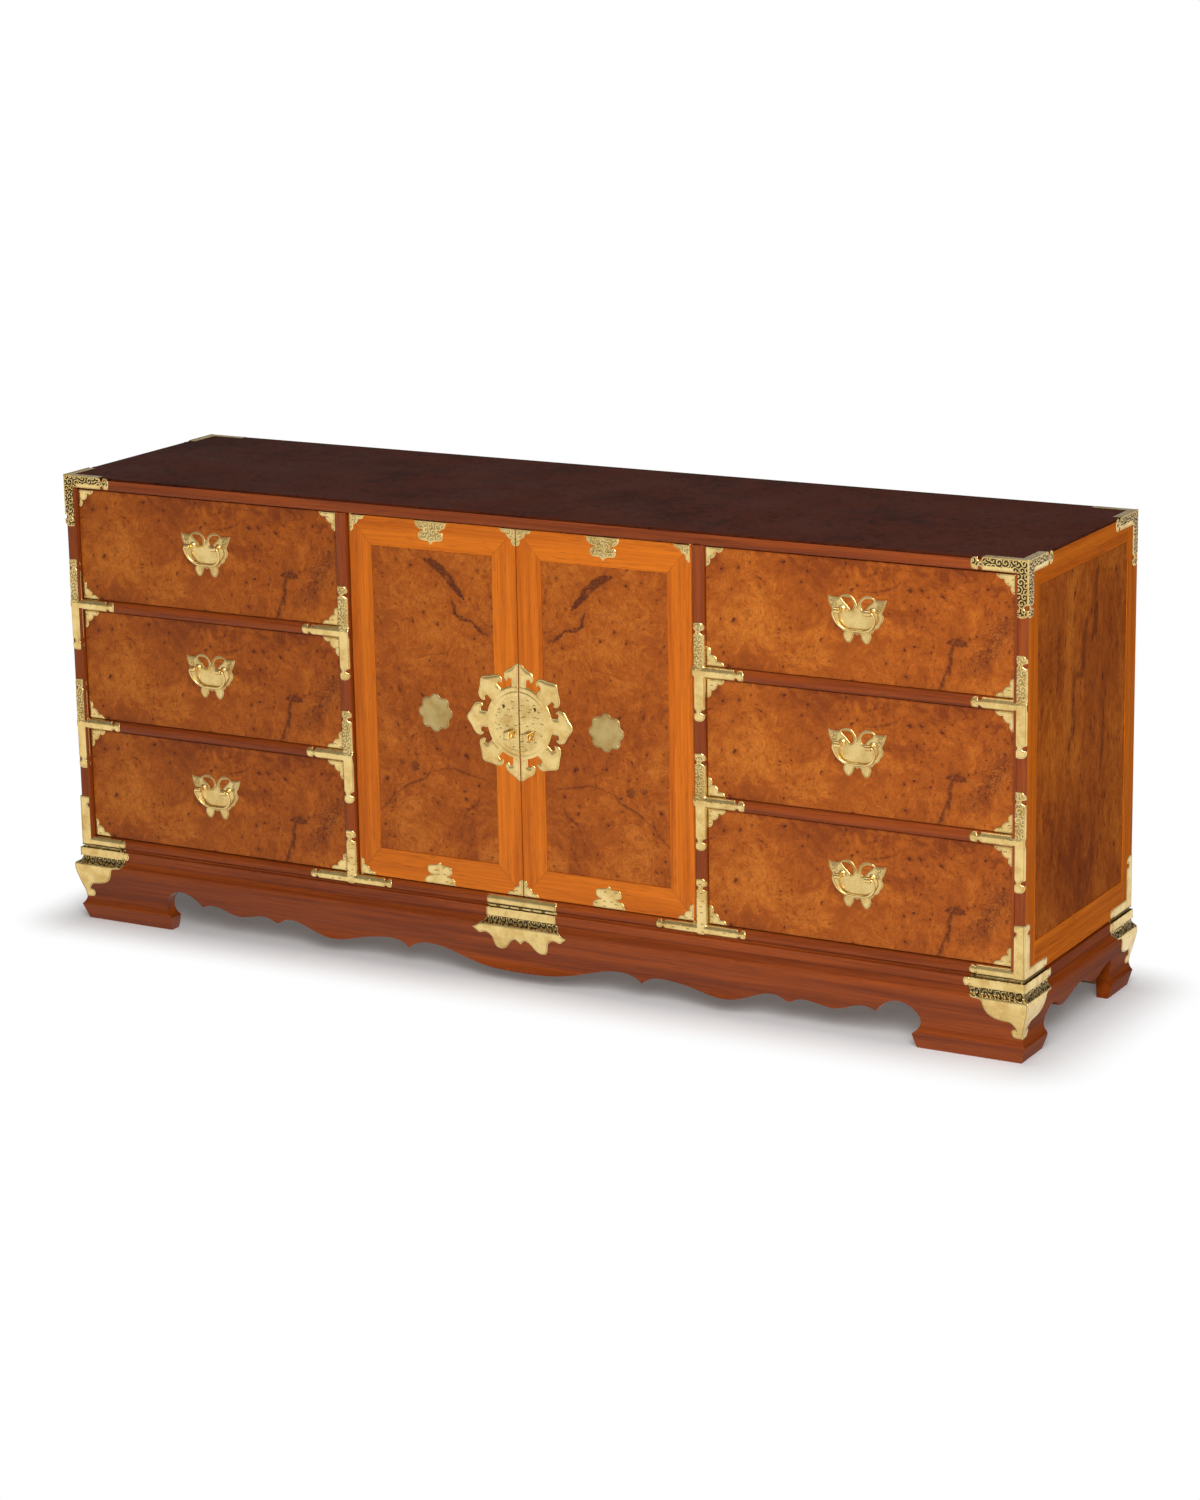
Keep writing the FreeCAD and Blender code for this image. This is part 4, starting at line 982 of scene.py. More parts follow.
def circle(centre, side, other, radius, steps):
    """Points round a centre, between two directions."""
    angles = [2 * math.pi * number / steps for number in range(steps)]
    return [centre + (side * math.cos(angle) + other * math.sin(angle)) * radius for angle in angles]


def add_turned(shell, centre, axis, profile, steps, ring=False):
    """A turned piece: a profile of (along, radius) pairs about an axis, with two ends or closed to a ring."""
    axis = Vector(axis).normalized()
    side = axis.orthogonal().normalized()
    other = axis.cross(side)
    points = []
    for along, radius in profile:
        points += circle(Vector(centre) + axis * along, side, other, radius, steps)
    shell.add(points, row_faces(len(profile), steps, ring))


def add_eye(shell, centre, axis, outer, inner, width, ease):
    """A turned eye with a bore through it."""
    half = width / 2
    profile = [(-half, inner + ease), (-half, outer - ease), (-half + ease, outer), (half - ease, outer),
               (half, outer - ease), (half, inner + ease), (half - ease, inner), (-half + ease, inner)]
    add_turned(shell, centre, axis, profile, 24, True)


def add_tube(shell, path, radii, steps=14):
    """A bent bar along a path in an upright plane that looks to the front."""
    path = [Vector(point) for point in path]
    depth = Vector((0, 1, 0))
    points = []
    for number, (point, radius) in enumerate(zip(path, radii)):
        ahead = path[min(number + 1, len(path) - 1)] - path[max(number - 1, 0)]
        points += circle(point, ahead.normalized().cross(depth), depth, radius, steps)
    shell.add(points, row_faces(len(path), steps))


# Carried-over boards


def dress(node, material, edge=None):
    """Give a solid its material and eased edges."""
    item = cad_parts[node]
    item.data.materials.clear()
    item.data.materials.append(material)
    if edge:
        weld = item.modifiers.new("joined_corners", "WELD")
        weld.merge_threshold = 0.00001
        bevel = item.modifiers.new("eased_edges", "BEVEL")
        bevel.width = edge
        bevel.segments = 2
        bevel.limit_method = "ANGLE"
        bevel.angle_limit = math.radians(30)


def finish_piece(item, body, slot, *nodes):
    """Tie a new piece to its body and let it stand for its solids. The slot is not used."""
    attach(item, body)
    if nodes:
        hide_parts(*nodes)


# Makers


def make_groups():
    make_fibre_group()
    make_burl_group()
    make_streak_group()
    make_lacquer_group()
    make_patina_group()
    make_nail_group()


def burl_palette(wood):
    return wood.burl_light, wood.burl_mid, wood.burl_dark, wood.burl_knot


# share by which the sides' veneer is drawn out along its upright grain
SIDE_STRETCH = 0.42
SIDE_SHINE = 0.004
# dark streaks of the sides: place back from the panel's middle and down from its top on the drawn-out veneer,
# then turn, half length, half width, bend, wave and strength
SIDE_STREAKS = (
    (0.055, 0.032, 1.25, 0.03, 0.009, 0.006, 0.004, 0.6),
    (0.005, 0.063, 0.85, 0.03, 0.008, 0.012, 0.005, 0.6),
    (-0.035, 0.097, 1.3, 0.03, 0.009, 0.01, 0.004, 0.55),
    (-0.10, 0.059, 1.5, 0.025, 0.006, 0.006, 0.0, 0.5),
    (0.09, 0.13, 1.4, 0.03, 0.007, 0.006, 0.0, 0.5),
)


def side_burl(wood, low, high):
    """Burl of the side panels, from the box of one of them."""
    def drawn_out(graph, vector):
        axis = graph.split(vector)
        return graph.placed(graph.join(axis[1], axis[0], axis[2]), scale=(1.0, 1.0, SIDE_STRETCH))

    middle = (low.y + high.y) / 2
    top = high.z * SIDE_STRETCH
    streaks = [((middle + back, 0, top - down), *shape) for back, down, *shape in SIDE_STREAKS]
    patches = [((middle, low.z * SIDE_STRETCH + 0.04), (0.3, 0.1), -0.25)]
    return burl_material("side_burl", drawn_out, burl_palette(wood), streaks, patches, shine=SIDE_SHINE)


def side_frame_wood(wood, low, high):
    """Wood of the side frames, upright on the stiles and level on the rails, from the box of a side panel."""
    material, graph, shader = new_material("side_frame_wood")
    vector = object_vector(graph)
    axis = graph.split(vector)
    from_middle = graph.math("ABSOLUTE", graph.minus(axis[1], (low.y + high.y) / 2))
    is_rail = graph.math("LESS_THAN", from_middle, (high.y - low.y) / 2)
    grain = graph.mix_vector(is_rail, vector, graph.join(axis[2], axis[0], axis[1]))
    colour, pores = fibre_colour(graph, grain, wood.frame_light, wood.frame_dark)
    add_lacquer(graph, shader, colour, vector, VENEER_GLOSS, SIDE_SHINE, pores)
    return material


TOP_SHINE = 0.003
TOP_EDGE = 0.0014
INNER_GLOSS = 0.5
# corner posts: thickness of the beaded face, and the share of its width that the tongue behind it takes
POST_FACE = 0.004
TONGUE_SHARE = 0.8


def make_case(scene):
    """Top, sides, beading and the boards inside."""
    wood = scene.sideboard_wood
    top = burl_material("top_burl", lambda graph, vector: graph.placed(vector, rotation=GRAIN_TURNS["y"]),
                        (wood.top_light, wood.top_light, wood.top_dark, wood.top_dark), shine=TOP_SHINE)
    dress("top_panel", top, TOP_EDGE)
    panel_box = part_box("right_side_panel")
    panel = side_burl(wood, *panel_box)
    frame_wood = side_frame_wood(wood, *panel_box)
    for side in SIDES:
        dress(f"{side}_side_frame", frame_wood)
        dress(f"{side}_side_panel", panel, wood.edge)

    beads = front_beads(wood)
    upright = fibre_material("bead_wood_upright", wood.bead_light, wood.bead_dark, "z")
    level = fibre_material("bead_wood_level", wood.bead_light, wood.bead_dark, "x")
    frame_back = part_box("drawer_rails")[1].y
    tongue_end = HALF_WIDTH + (INNER_HALF - HALF_WIDTH) * TONGUE_SHARE
    for node, names, material in (
            ("divider_posts", ["left_divider", "right_divider"], upright),
            ("corner_posts", ["left_corner", "right_corner"], upright),
            ("drawer_rails", [name for name in beads if "_rail_" in name], level),
            ("bottom_rail", ["bottom_rail"], level),
            ("top_rail", ["top_rail"], level)):
        shell = Shell()
        for bead in [beads[name] for name in names]:
            if node != "corner_posts":
                add_bead_bar(shell, bead, frame_back)
                continue
            add_bead_bar(shell, bead, FRONT + POST_FACE)
            sign = math.copysign(1, bead.high)
            ends = sorted((sign * INNER_HALF, sign * tongue_end))
            add_bead_bar(shell, Bead("z", *ends, SQUARE_EDGE, SQUARE_EDGE, bead.span), frame_back, 1)
        finish_piece(shell.finish(f"{node}_beaded", material), "case", "red_wood", node)

    inner = fibre_material("inner_wood_level", wood.inner_light, wood.inner_dark, "x", INNER_GLOSS)
    deep = fibre_material("inner_wood_deep", wood.inner_light, wood.inner_dark, "y", INNER_GLOSS)
    for node in ("back_panel", "bottom_board", "shelf", "base_back"):
        dress(node, inner, wood.edge)
    for node in ("drawer_runners", "shelf_bearers", "foot_blocks", "left_partition", "right_partition"):
        dress(node, deep, wood.edge)
    for drawer in DRAWERS:
        dress(f"{drawer}_box", deep)


# base section: reach as a share of the base's reach, level as a share of its height
SECTION_SHARES = (
    (-0.27, 1.0), (-0.27, 0.971), (0.27, 0.971), (0.27, 0.862), (0.0, 0.855), (0.08, 0.825), (0.25, 0.8),
    (0.6, 0.785), (0.91, 0.77), (1.0, 0.745), (0.97, 0.69), (0.82, 0.63), (0.55, 0.545), (0.25, 0.46),
    (-0.03, 0.39), (-0.18, 0.33), (-0.15, 0.28), (0.0, 0.245), (0.2, 0.22), (0.45, 0.2),
)
SECTION_FLOOR = (-0.36, 0.0)
SECTION_STEP = 0.004


class Section:
    """The base's outer section, measured along its surface from the top down."""

    def __init__(self, shares, rise=0.0):
        path = [(out * BASE_REACH, level * BASE_HEIGHT) for out, level in shares]
        if rise:
            path = [(0.0, BASE_HEIGHT + rise), (0.0, BASE_HEIGHT)] + path
        points = []
        for (out, level), (next_out, next_level) in zip(path, path[1:]):
            pieces = max(1, math.ceil(math.hypot(next_out - out, next_level - level) / SECTION_STEP))
            for share in np.arange(pieces) / pieces:
                points.append((out + (next_out - out) * share, level + (next_level - level) * share))
        self.out, self.level = np.array(points + path[-1:]).T
        steps = np.hypot(np.diff(self.out), np.diff(self.level))
        self.run = np.concatenate([[0.0], np.cumsum(steps)])

    def run_at(self, level):
        """The way along the section to a level, below its steps."""
        return np.interp(-level, -self.level, self.run)

    def at(self, run):
        return np.interp(run, self.run, self.out), np.interp(run, self.run, self.level)


class BasePlace:
    """Where a board of the base stands: in front for sign 0, else on the side of that sign."""

    def __init__(self, sign):
        self.sign = sign

    def ends(self, out):
        """Where the board starts and stops along, at a reach: mitred in front and square at the back."""
        if self.sign:
            return FRONT - out, BACK + 0.0 * out
        return -HALF_WIDTH - out, HALF_WIDTH + out

    def points(self, along, out, level):
        if self.sign:
            return np.column_stack((self.sign * (HALF_WIDTH + out), along, level))
        return np.column_stack((along, FRONT - out, level))


APRON_STEP = 0.006
# distances that keep the outline's ends and its top out of the apron
APRON_MARGIN = 0.06
APRON_BELOW_TOP = 0.004
ON_FLOOR = 0.0005
BOARD_COLUMN = 0.012
BOARD_RIM = 0.0025
BOARD_DIGITS = 6


def base_board(shell, node, facing, inner_plane, place):
    """A moulded board with its apron."""
    section = Section(SECTION_SHARES + (SECTION_FLOOR,))
    low, high = place.ends(0.0)
    outline = eased(flat_outlines(node, facing, inner_plane)[0][0], APRON_STEP)
    apron = [point for point in outline if low + APRON_MARGIN < point[0] < high - APRON_MARGIN
             and point[1] < BASE_HEIGHT - APRON_BELOW_TOP]
    start = min(range(len(apron)), key=lambda number: (apron[number][1] > ON_FLOOR, apron[number][0]))
    apron = apron[start:] + apron[:start]
    if apron[1][1] < ON_FLOOR:
        apron = apron[1:] + apron[:1]
    along = np.array([point[0] for point in apron])
    runs = section.run_at(np.array([point[1] for point in apron]))
    if along[0] > along[-1]:
        along = along[::-1]
        runs = runs[::-1]
    runs[0] = section.run[-1]
    runs[-1] = section.run[-1]
    starts, stops = place.ends(section.out)
    loop = [*zip(starts, section.run), *zip(along, runs), *zip(stops[::-1], section.run[::-1])]
    loops = [anticlockwise(loop)]
    columns = np.linspace(low, high, int((high - low) / BOARD_COLUMN))
    grid = np.array([(column, run) for column in columns for run in section.run[1:-1]])
    inner = grid[is_inside(grid, loops)]
    points, triangles = triangulated(loops, inner[edge_distance(inner, loops) > BOARD_RIM])
    out, level = section.at(points[:, 1])
    front = place.points(points[:, 0], out, level)
    clipped = np.clip(points[:, 0], *place.ends(INNER_REACH))
    border, faces = closed_faces(triangles, np.column_stack((clipped, level)), BOARD_DIGITS)
    back = place.points(clipped[border], np.full(len(border), INNER_REACH), level[border])
    shell.add(np.concatenate([front, back]), faces)


BASE_SIDE_SHINE = 0.01


def make_base(scene):
    """The moulded base with its scalloped aprons."""
    wood = scene.sideboard_wood
    level = bpy.data.materials["bead_wood_level"]
    deep = fibre_material("bead_wood_deep", wood.bead_light, wood.bead_dark, "y", shine=BASE_SIDE_SHINE)
    inner_half = HALF_WIDTH + INNER_REACH
    for name, node, facing, inner_plane, sign, material in (
            ("base_front_moulded", "base_front", "back", BASE_INNER, 0, level),
            ("left_base_moulded", "left_base_side", "right", -inner_half, -1, deep),
            ("right_base_moulded", "right_base_side", "left", inner_half, 1, deep)):
        shell = Shell()
        base_board(shell, node, facing, inner_plane, BasePlace(sign))
        finish_piece(shell.finish(name, material), "case", "red_wood", node)


# dark streaks of the veneer: centre, turn, half length, half width, bend, wave and strength
DOOR_STREAKS = (
    ((0.146, 0, 0.706), 0.62, 0.038, 0.0085, -0.006, 0.0, 0.9),
    ((0.118, 0, 0.676), 0.72, 0.022, 0.006, -0.003, 0.0, 0.9),
    ((0.123, 0, 0.645), 1.3, 0.013, 0.0035, -0.002, 0.0, 0.85),
    ((0.108, 0, 0.627), 0.3, 0.022, 0.0038, 0.004, 0.0, 0.85),
    ((0.076, 0, 0.611), 0.6, 0.021, 0.0034, 0.003, 0.0, 0.85),
    ((0.209, 0, 0.361), 0.5, 0.009, 0.009, 0.0, 0.0, 0.7),
    ((0.236, 0, 0.366), 0.5, 0.005, 0.005, 0.0, 0.0, 0.6),
    ((0.119, 0, 0.362), 0.06, 0.06, 0.0018, -0.012, 0.002, 0.55),
    ((0.205, 0, 0.334), -0.6, 0.045, 0.0022, 0.006, 0.003, 0.6),
    ((0.262, 0, 0.294), -0.9, 0.034, 0.0022, 0.006, 0.0, 0.6),
    ((0.098, 0, 0.300), -0.85, 0.03, 0.0022, 0.0, 0.003, 0.55),
    ((0.160, 0, 0.560), -0.4, 0.05, 0.0016, 0.01, 0.004, 0.4),
)
DRAWER_STREAKS = (
    ((0.172, 0, -0.018), -0.1, 0.019, 0.0066, -0.004, 0.0, 0.8),
    ((0.160, 0, -0.045), 1.42, 0.030, 0.0042, -0.004, 0.001, 0.75),
    ((0.149, 0, -0.082), 1.15, 0.026, 0.0036, 0.003, 0.001, 0.7),
    ((0.045, 0, 0.052), 0.3, 0.03, 0.0016, 0.004, 0.0, 0.5),
)
DRAWER_PLUME = ((0.232, 0, -0.018), 0.95, 0.078, 0.0085, 0.012, 0.004, 0.85)
# light and dark patches of the veneer, and a darker band along the top of every front: middle, half size and
# lift of the tone
DRAWER_PATCHES = (
    ((-0.2, -0.01), (0.13, 0.09), 0.45), ((-0.05, -0.06), (0.16, 0.07), 0.2),
    ((0.2, 0.09), (0.26, 0.11), -0.38), ((-0.27, 0.09), (0.12, 0.08), -0.32),
    ((0.0, 0.12), (0.34, 0.09), -0.28),
)
DOOR_SHINE = 0.16


def door_frame_wood(wood):
    """Wood of the door frames: the grain follows each piece, with a dark line along the mitres."""
    low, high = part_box("right_door_frame")
    panel_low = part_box("right_door_panel")[0]
    material, graph, shader = new_material("door_frame_wood")
    vector = object_vector(graph)
    axis = graph.split(vector)
    gaps = []
    for place, near, far, width in ((graph.math("ABSOLUTE", axis[0]), low.x, high.x, panel_low.x - low.x),
                                    (axis[2], low.z, high.z, panel_low.z - low.z)):
        gap = graph.math("MINIMUM", graph.minus(place, near), graph.minus(far, place))
        gaps.append(graph.math("DIVIDE", gap, width))
    lead = graph.minus(*gaps)
    is_rail = graph.math("GREATER_THAN", lead, 0.0)
    grain = graph.mix_vector(is_rail, vector, graph.join(axis[2], axis[1], axis[0]))
    colour, pores = fibre_colour(graph, grain, wood.frame_light, wood.frame_dark)
    mitre = graph.ramp(graph.math("ABSOLUTE", lead), 0.006, 0.022, 0.5, 0.0)
    colour = graph.mix(mitre, colour, wood.burl_dark)
    add_lacquer(graph, shader, colour, vector, VENEER_GLOSS, DOOR_SHINE, pores)
    return material


def make_doors(scene):
    """Mitred door frames with bookmatched burl panels."""
    wood = scene.sideboard_wood

    def bookmatched(graph, vector):
        axis = graph.split(vector)
        return graph.join(graph.math("ABSOLUTE", axis[0]), axis[1], axis[2])

    panel = burl_material("door_burl", bookmatched, burl_palette(wood), DOOR_STREAKS)
    frame_wood = door_frame_wood(wood)
    for side in SIDES:
        dress(f"{side}_door_frame", frame_wood)
        dress(f"{side}_door_panel", panel, wood.edge)


def make_drawers(scene):
    """Drawer fronts that all show the same cut of burl."""
    wood = scene.sideboard_wood
    for drawer in DRAWERS:
        low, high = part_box(f"{drawer}_front")
        middle = (low + high) / 2

        def centred(graph, vector, middle=middle):
            return graph.placed(vector, location=(-middle.x, 0, -middle.z))

        burl = burl_material(f"{drawer}_burl", centred, burl_palette(wood), DRAWER_STREAKS, DRAWER_PATCHES,
                             DRAWER_PLUME)
        dress(f"{drawer}_front", burl, wood.edge)


# how deep the door's nails sit, so that they clear the post beside an open door
NAIL_SINK = 0.0006
# how far the lock plate's nails stand out on its raised lobes
NAIL_LIFT = 0.0006
# nails of each kind of plate: how many, and how far inside its outline
BUTTERFLY_NAILS = (6, 0.0045)
CORNER_NAILS = (3, 0.0032)
ROSETTE_NAILS = (8, 0.0032)
LOCK_NAILS = (9, 0.005)
STRAP_NAILS = (6, 0.0055)
BRACKET_NAILS = (5, 0.005)


def nailed(surface, outline, nails, height):
    """Well spread places for nails along a plate's outline, a little inside it."""
    count, distance = nails
    spots = inset(outline[0], distance)
    spots = spots[is_inside(spots, outline) & (edge_distance(spots, outline) > distance * 0.8)]
    chosen = [spots[np.argmax(np.linalg.norm(spots - spots.mean(axis=0), axis=1))]]
    while len(chosen) < count:
        gaps = np.min([np.linalg.norm(spots - spot, axis=1) for spot in chosen], axis=0)
        chosen.append(spots[np.argmax(gaps)])
    return list(surface(np.array(chosen), np.full(count, height)))


BUTTERFLY_FINENESS = 0.85
ROSETTE_RELIEF = -0.5
UPPER_PLATE_ENGRAVING = 0.5
KEYHOLE_MARGIN = 0.001


def add_drawer_plates(shell, drawer, brass):
    """A drawer's butterfly and corner plates, and the places of their nails."""
    lay = flat_surface("front", DOOR_PLANE)
    spots = []
    for loops in flat_outlines(f"{drawer}_brass", "front", DOOR_PLANE - BRASS):
        if len(loops) > 1:
            pattern = butterfly_pattern(brass.emboss, loops[0])
            outline = add_sheet(shell, loops, lay, pattern, brass.spacing * BUTTERFLY_FINENESS)
            spots += nailed(lay, outline, BUTTERFLY_NAILS, BRASS)
        else:
            outline = add_sheet(shell, loops, lay, plate_pattern(brass.emboss), brass.spacing)
            spots += nailed(lay, outline, CORNER_NAILS, BRASS)
    return spots


def add_door_plates(shell, door, brass):
    """A door's corner and edge plates and its rosette, and the places of their nails."""
    rosette = plate_pattern(brass.emboss, base=ROSETTE_RELIEF)
    upper = plate_pattern(brass.emboss, UPPER_PLATE_ENGRAVING)
    lower = plate_pattern(brass.emboss)
    panel_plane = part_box("right_door_panel")[0].y
    spots = []
    for plane, nails in ((DOOR_PLANE, CORNER_NAILS), (panel_plane, ROSETTE_NAILS)):
        lay = flat_surface("front", plane)
        for loops in flat_outlines(f"{door}_plates", "front", plane - BRASS):
            pattern = upper if loops[0][:, 1].mean() > (FLOOR_LEVEL + CASE_TOP) / 2 else lower
            if nails is ROSETTE_NAILS:
                pattern = rosette
            outline = add_sheet(shell, [opened(loop) for loop in loops], lay, pattern, brass.spacing)
            spots += nailed(lay, outline, nails, BRASS - NAIL_SINK)
    return spots


def add_lock_plate(shell, side, brass):
    """Half of the lock plate with painted shade in its keyholes and its keeper, and the places of its nails.
    """
    lay = flat_surface("front", DOOR_PLANE)
    loops = flat_outlines(f"{side}_lock_plate", "front", DOOR_PLANE - BRASS)[0]
    low = loops[0][:, 1].min()
    high = loops[0][:, 1].max()
    pattern = lock_pattern(brass.emboss, np.array([0.0, (low + high) / 2]), (high - low) / 2)
    outline = add_sheet(shell, loops, lay, pattern, brass.spacing)
    # each keyhole gets a dark sheet behind it: painted shade for the depth of the hole
    for hole in loops[1:]:
        add_sheet(shell, [inset(hole[::-1], -KEYHOLE_MARGIN)], lay, keyhole_painted_shade, brass.spacing * 2)
    add_keeper(shell, side)
    return nailed(lay, outline, LOCK_NAILS, BRASS + NAIL_LIFT)


def make_plates(scene):
    """Embossed plates on drawers and doors, with their nails."""
    brass = scene.sideboard_brass
    material = brass_material(brass)
    nails = {}
    for drawer in DRAWERS:
        shell = Shell()
        nails[drawer] = add_drawer_plates(shell, drawer, brass)
        add_pull_posts(shell, drawer)
        finish_piece(shell.finish(f"{drawer}_plates", material), drawer, "brass", f"{drawer}_brass")
    for side in SIDES:
        door = f"{side}_door"
        shell = Shell()
        nails[door] = add_door_plates(shell, door, brass)
        finish_piece(shell.finish(f"{door}_embossed_plates", material), door, "brass", f"{door}_plates")
        shell = Shell()
        nails[door] += add_lock_plate(shell, side, brass)
        finish_piece(shell.finish(f"{side}_lock_embossed", material), door, "brass", f"{side}_lock_plate")
    for body, spots in nails.items():
        add_nails(scene, body, spots, material)
    dress("door_pivots", material)


POST_SPREAD = 0.027
POST_SINK = 0.0004
POST_STEPS = 20
# turned post: way along from its foot and radius, then its neck with the way short of the bail
POST_FOOT = ((0.0, 0.0062), (0.0012, 0.0062), (0.0022, 0.0048), (0.0032, 0.0034), (0.005, 0.0028))
POST_NECK = ((0.0040, 0.0028), (0.0022, 0.0026))
EYE_RADIUS = 0.0048
EYE_WIDTH = 0.011
EYE_EASE = 0.0008
EYE_PLAY = 0.0001
BAIL_BEND = 0.006
BAIL_CORNER_SHARE = 0.94
BAIL_END = 0.021
BAIL_SWELL = 0.3


def bail_bar(drawer):
    """A bail's box, the radius of its bar, and the middle, plane and level of its axis."""
    low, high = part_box(f"{drawer}_bail")
    radius = (high.y - low.y) / 2
    return low, high, radius, (low.x + high.x) / 2, (low.y + high.y) / 2, high.z - radius


def add_pull_posts(shell, drawer):
    """Two turned posts with eyes that hold the bail."""
    _, _, radius, centre, plane, level = bail_bar(drawer)
    root = DOOR_PLANE - BRASS
    profile = list(POST_FOOT) + [(root - plane - short, neck) for short, neck in POST_NECK]
    for across in (centre - POST_SPREAD, centre + POST_SPREAD):
        add_turned(shell, (across, root + POST_SINK, level), (0, -1, 0), profile, POST_STEPS)
        add_eye(shell, (across, plane, level), (1, 0, 0), EYE_RADIUS, radius + EYE_PLAY, EYE_WIDTH, EYE_EASE)


def quarter_turn(across, up, radius, start, steps):
    """Points of a quarter circle in the plane of a bail."""
    angles = [start + number / steps * math.pi / 2 for number in range(steps + 1)]
    return [(across + radius * math.cos(angle), up + radius * math.sin(angle)) for angle in angles]


def make_bails():
    """Bent bails, a little thicker in the middle, that swing in the eyes."""
    material = bpy.data.materials["embossed_brass"]
    for drawer in DRAWERS:
        low, high, radius, centre, plane, level = bail_bar(drawer)
        wide = (high.x - low.x) / 2 - radius
        drop = high.z - low.z - 2 * radius
        corner = (drop - BAIL_BEND) * BAIL_CORNER_SHARE
        half = [(0.0, -drop)] + quarter_turn(wide - corner, -drop + corner, corner, -math.pi / 2, 12)
        half += quarter_turn(wide - BAIL_BEND, -BAIL_BEND, BAIL_BEND, 0.0, 8) + [(BAIL_END, 0.0)]
        path = [(-across, down) for across, down in reversed(half[1:])] + half
        lean = (DOOR_PLANE - BRASS - plane - 1.6 * radius) / drop
        points = [(centre + across, plane - lean * down, level + down) for across, down in path]
        radii = [radius * (1.0 + BAIL_SWELL * smooth_step(-down, drop * 0.4, drop)) for _, down in path]
        shell = Shell()
        add_tube(shell, points, radii)
        bail = shell.finish(f"{drawer}_bent_bail", material)
        finish_piece(bail, f"{drawer}_pull", "brass", f"{drawer}_bail")


KEEPER_EASE = 0.0022
KEEPER_HOLE = 0.003
KEEPER_SPACING = 0.0012


def add_keeper(shell, side):
    """A lug with rounded edges and a hole, standing on the lock plate."""
    pieces = islands_of(f"{side}_lock_plate")
    (left, front, bottom), (right, root, top) = min(pieces, key=lambda piece: piece[1][2] - piece[0][2])
    ease = KEEPER_EASE
    outer = [(root, bottom), (front + ease, bottom), (front + 0.3 * ease, bottom + 0.3 * ease),
             (front, bottom + ease), (front, top - ease), (front + 0.3 * ease, top - 0.3 * ease),
             (front + ease, top), (root, top)]
    hole = [(front + (root - front) * 0.45 + KEEPER_HOLE * math.cos(angle),
             (bottom + top) / 2 + KEEPER_HOLE * math.sin(angle))
            for angle in np.linspace(0, 2 * math.pi, 16, endpoint=False)]

    def lay(points, height):
        return np.column_stack((left + height, points[:, 0], points[:, 1]))

    def shape(points, depth):
        return (right - left) * (0.82 + 0.18 * smooth_step(depth, 0.0, 0.0008)), np.zeros(len(points))

    add_sheet(shell, [anticlockwise(outer), anticlockwise(hole)[::-1]], lay, shape, KEEPER_SPACING)


def make_nail_group():
    """Round nail heads on every point of a mesh."""
    inputs = [("Places", "Geometry"), ("Radius", "Float"), ("Finish", "Material")]
    graph, source, end = new_group("Nail heads", inputs, ("Nails",), "Geometry", "Geometry")
    graph.tree.interface.items_tree["Radius"].subtype = "DISTANCE"
    head = graph.add("GeometryNodeMeshUVSphere", {"Segments": 10, "Rings": 6, "Radius": source["Radius"]})
    spread = graph.add("GeometryNodeInstanceOnPoints", {"Points": source["Places"],
                                                        "Instance": head.outputs["Mesh"]})
    real = graph.add("GeometryNodeRealizeInstances", {"Geometry": spread.outputs["Instances"]})
    smooth = graph.add("GeometryNodeSetShadeSmooth", {"Geometry": real.outputs["Geometry"]})
    finish = graph.add("GeometryNodeSetMaterial", {"Geometry": smooth.outputs["Geometry"],
                                                   "Material": source["Finish"]})
    graph.fill(end, {"Nails": finish.outputs["Geometry"]})


def add_nails(scene, body, spots, material):
    """One mesh of nail heads for a body."""
    tree = bpy.data.node_groups["Nail heads"]
    places = bpy.data.meshes.new(f"{body}_nail_places")
    places.from_pydata([tuple(spot) for spot in spots], [], [])
    carrier = bpy.data.objects.new(f"{body}_nail_places", places)
    scene.collection.objects.link(carrier)
    modifier = carrier.modifiers.new("nails", "NODES")
    modifier.node_group = tree
    sockets = {socket.name: socket.identifier for socket in tree.interface.items_tree
               if socket.in_out == "INPUT"}
    modifier[sockets["Radius"]] = scene.sideboard_brass.nail
    modifier[sockets["Finish"]] = material
    graph = bpy.context.evaluated_depsgraph_get()
    mesh = bpy.data.meshes.new_from_object(carrier.evaluated_get(graph))
    carrier.modifiers.remove(modifier)
    bpy.data.objects.remove(carrier)
    mesh.name = f"{body}_nails"
    item = bpy.data.objects.new(f"{body}_nails", mesh)
    scene.collection.objects.link(item)
    finish_piece(item, body, "brass")


# end of a strap from its body to its tip: shares of half the width across and of the width along
CAP_SHARES = (
    (1.0, 0.9), (0.8, 0.89), (0.5, 0.82), (0.36, 0.7), (0.44, 0.6), (0.7, 0.56), (1.0, 0.54), (1.0, 0.42),
    (0.95, 0.22), (0.7, 0.07), (0.35, 0.01), (0.0, 0.0),
)


def capped(loop, axis, sign, low, high):
    """A strap's outline with one end shaped into a fan behind a notched neck."""
    width = high - low
    middle = (low + high) / 2
    tip = (loop[:, axis] * sign).max()
    gone = (loop[:, axis] * sign > tip - 0.9 * width) & (np.abs(loop[:, 1 - axis] - middle) < 0.62 * width)
    start = next(number for number in range(len(loop)) if gone[number - 1] and not gone[number])
    kept = np.roll(loop, -start, axis=0)[~np.roll(gone, -start)]
    half = [(share * width / 2, sign * (tip - along * width)) for share, along in CAP_SHARES]
    turn = sign if axis else -sign
    cap = [(middle + turn * across, place) for across, place in half]
    cap += [(middle - turn * across, place) for across, place in reversed(half[:-1])]
    return np.concatenate([kept, np.array(cap)[:, ::1 if axis else -1]])


SCROLLS = 1.0
LIGHT_SCROLLS = 0.55
STRAP_EMBOSS = 0.6
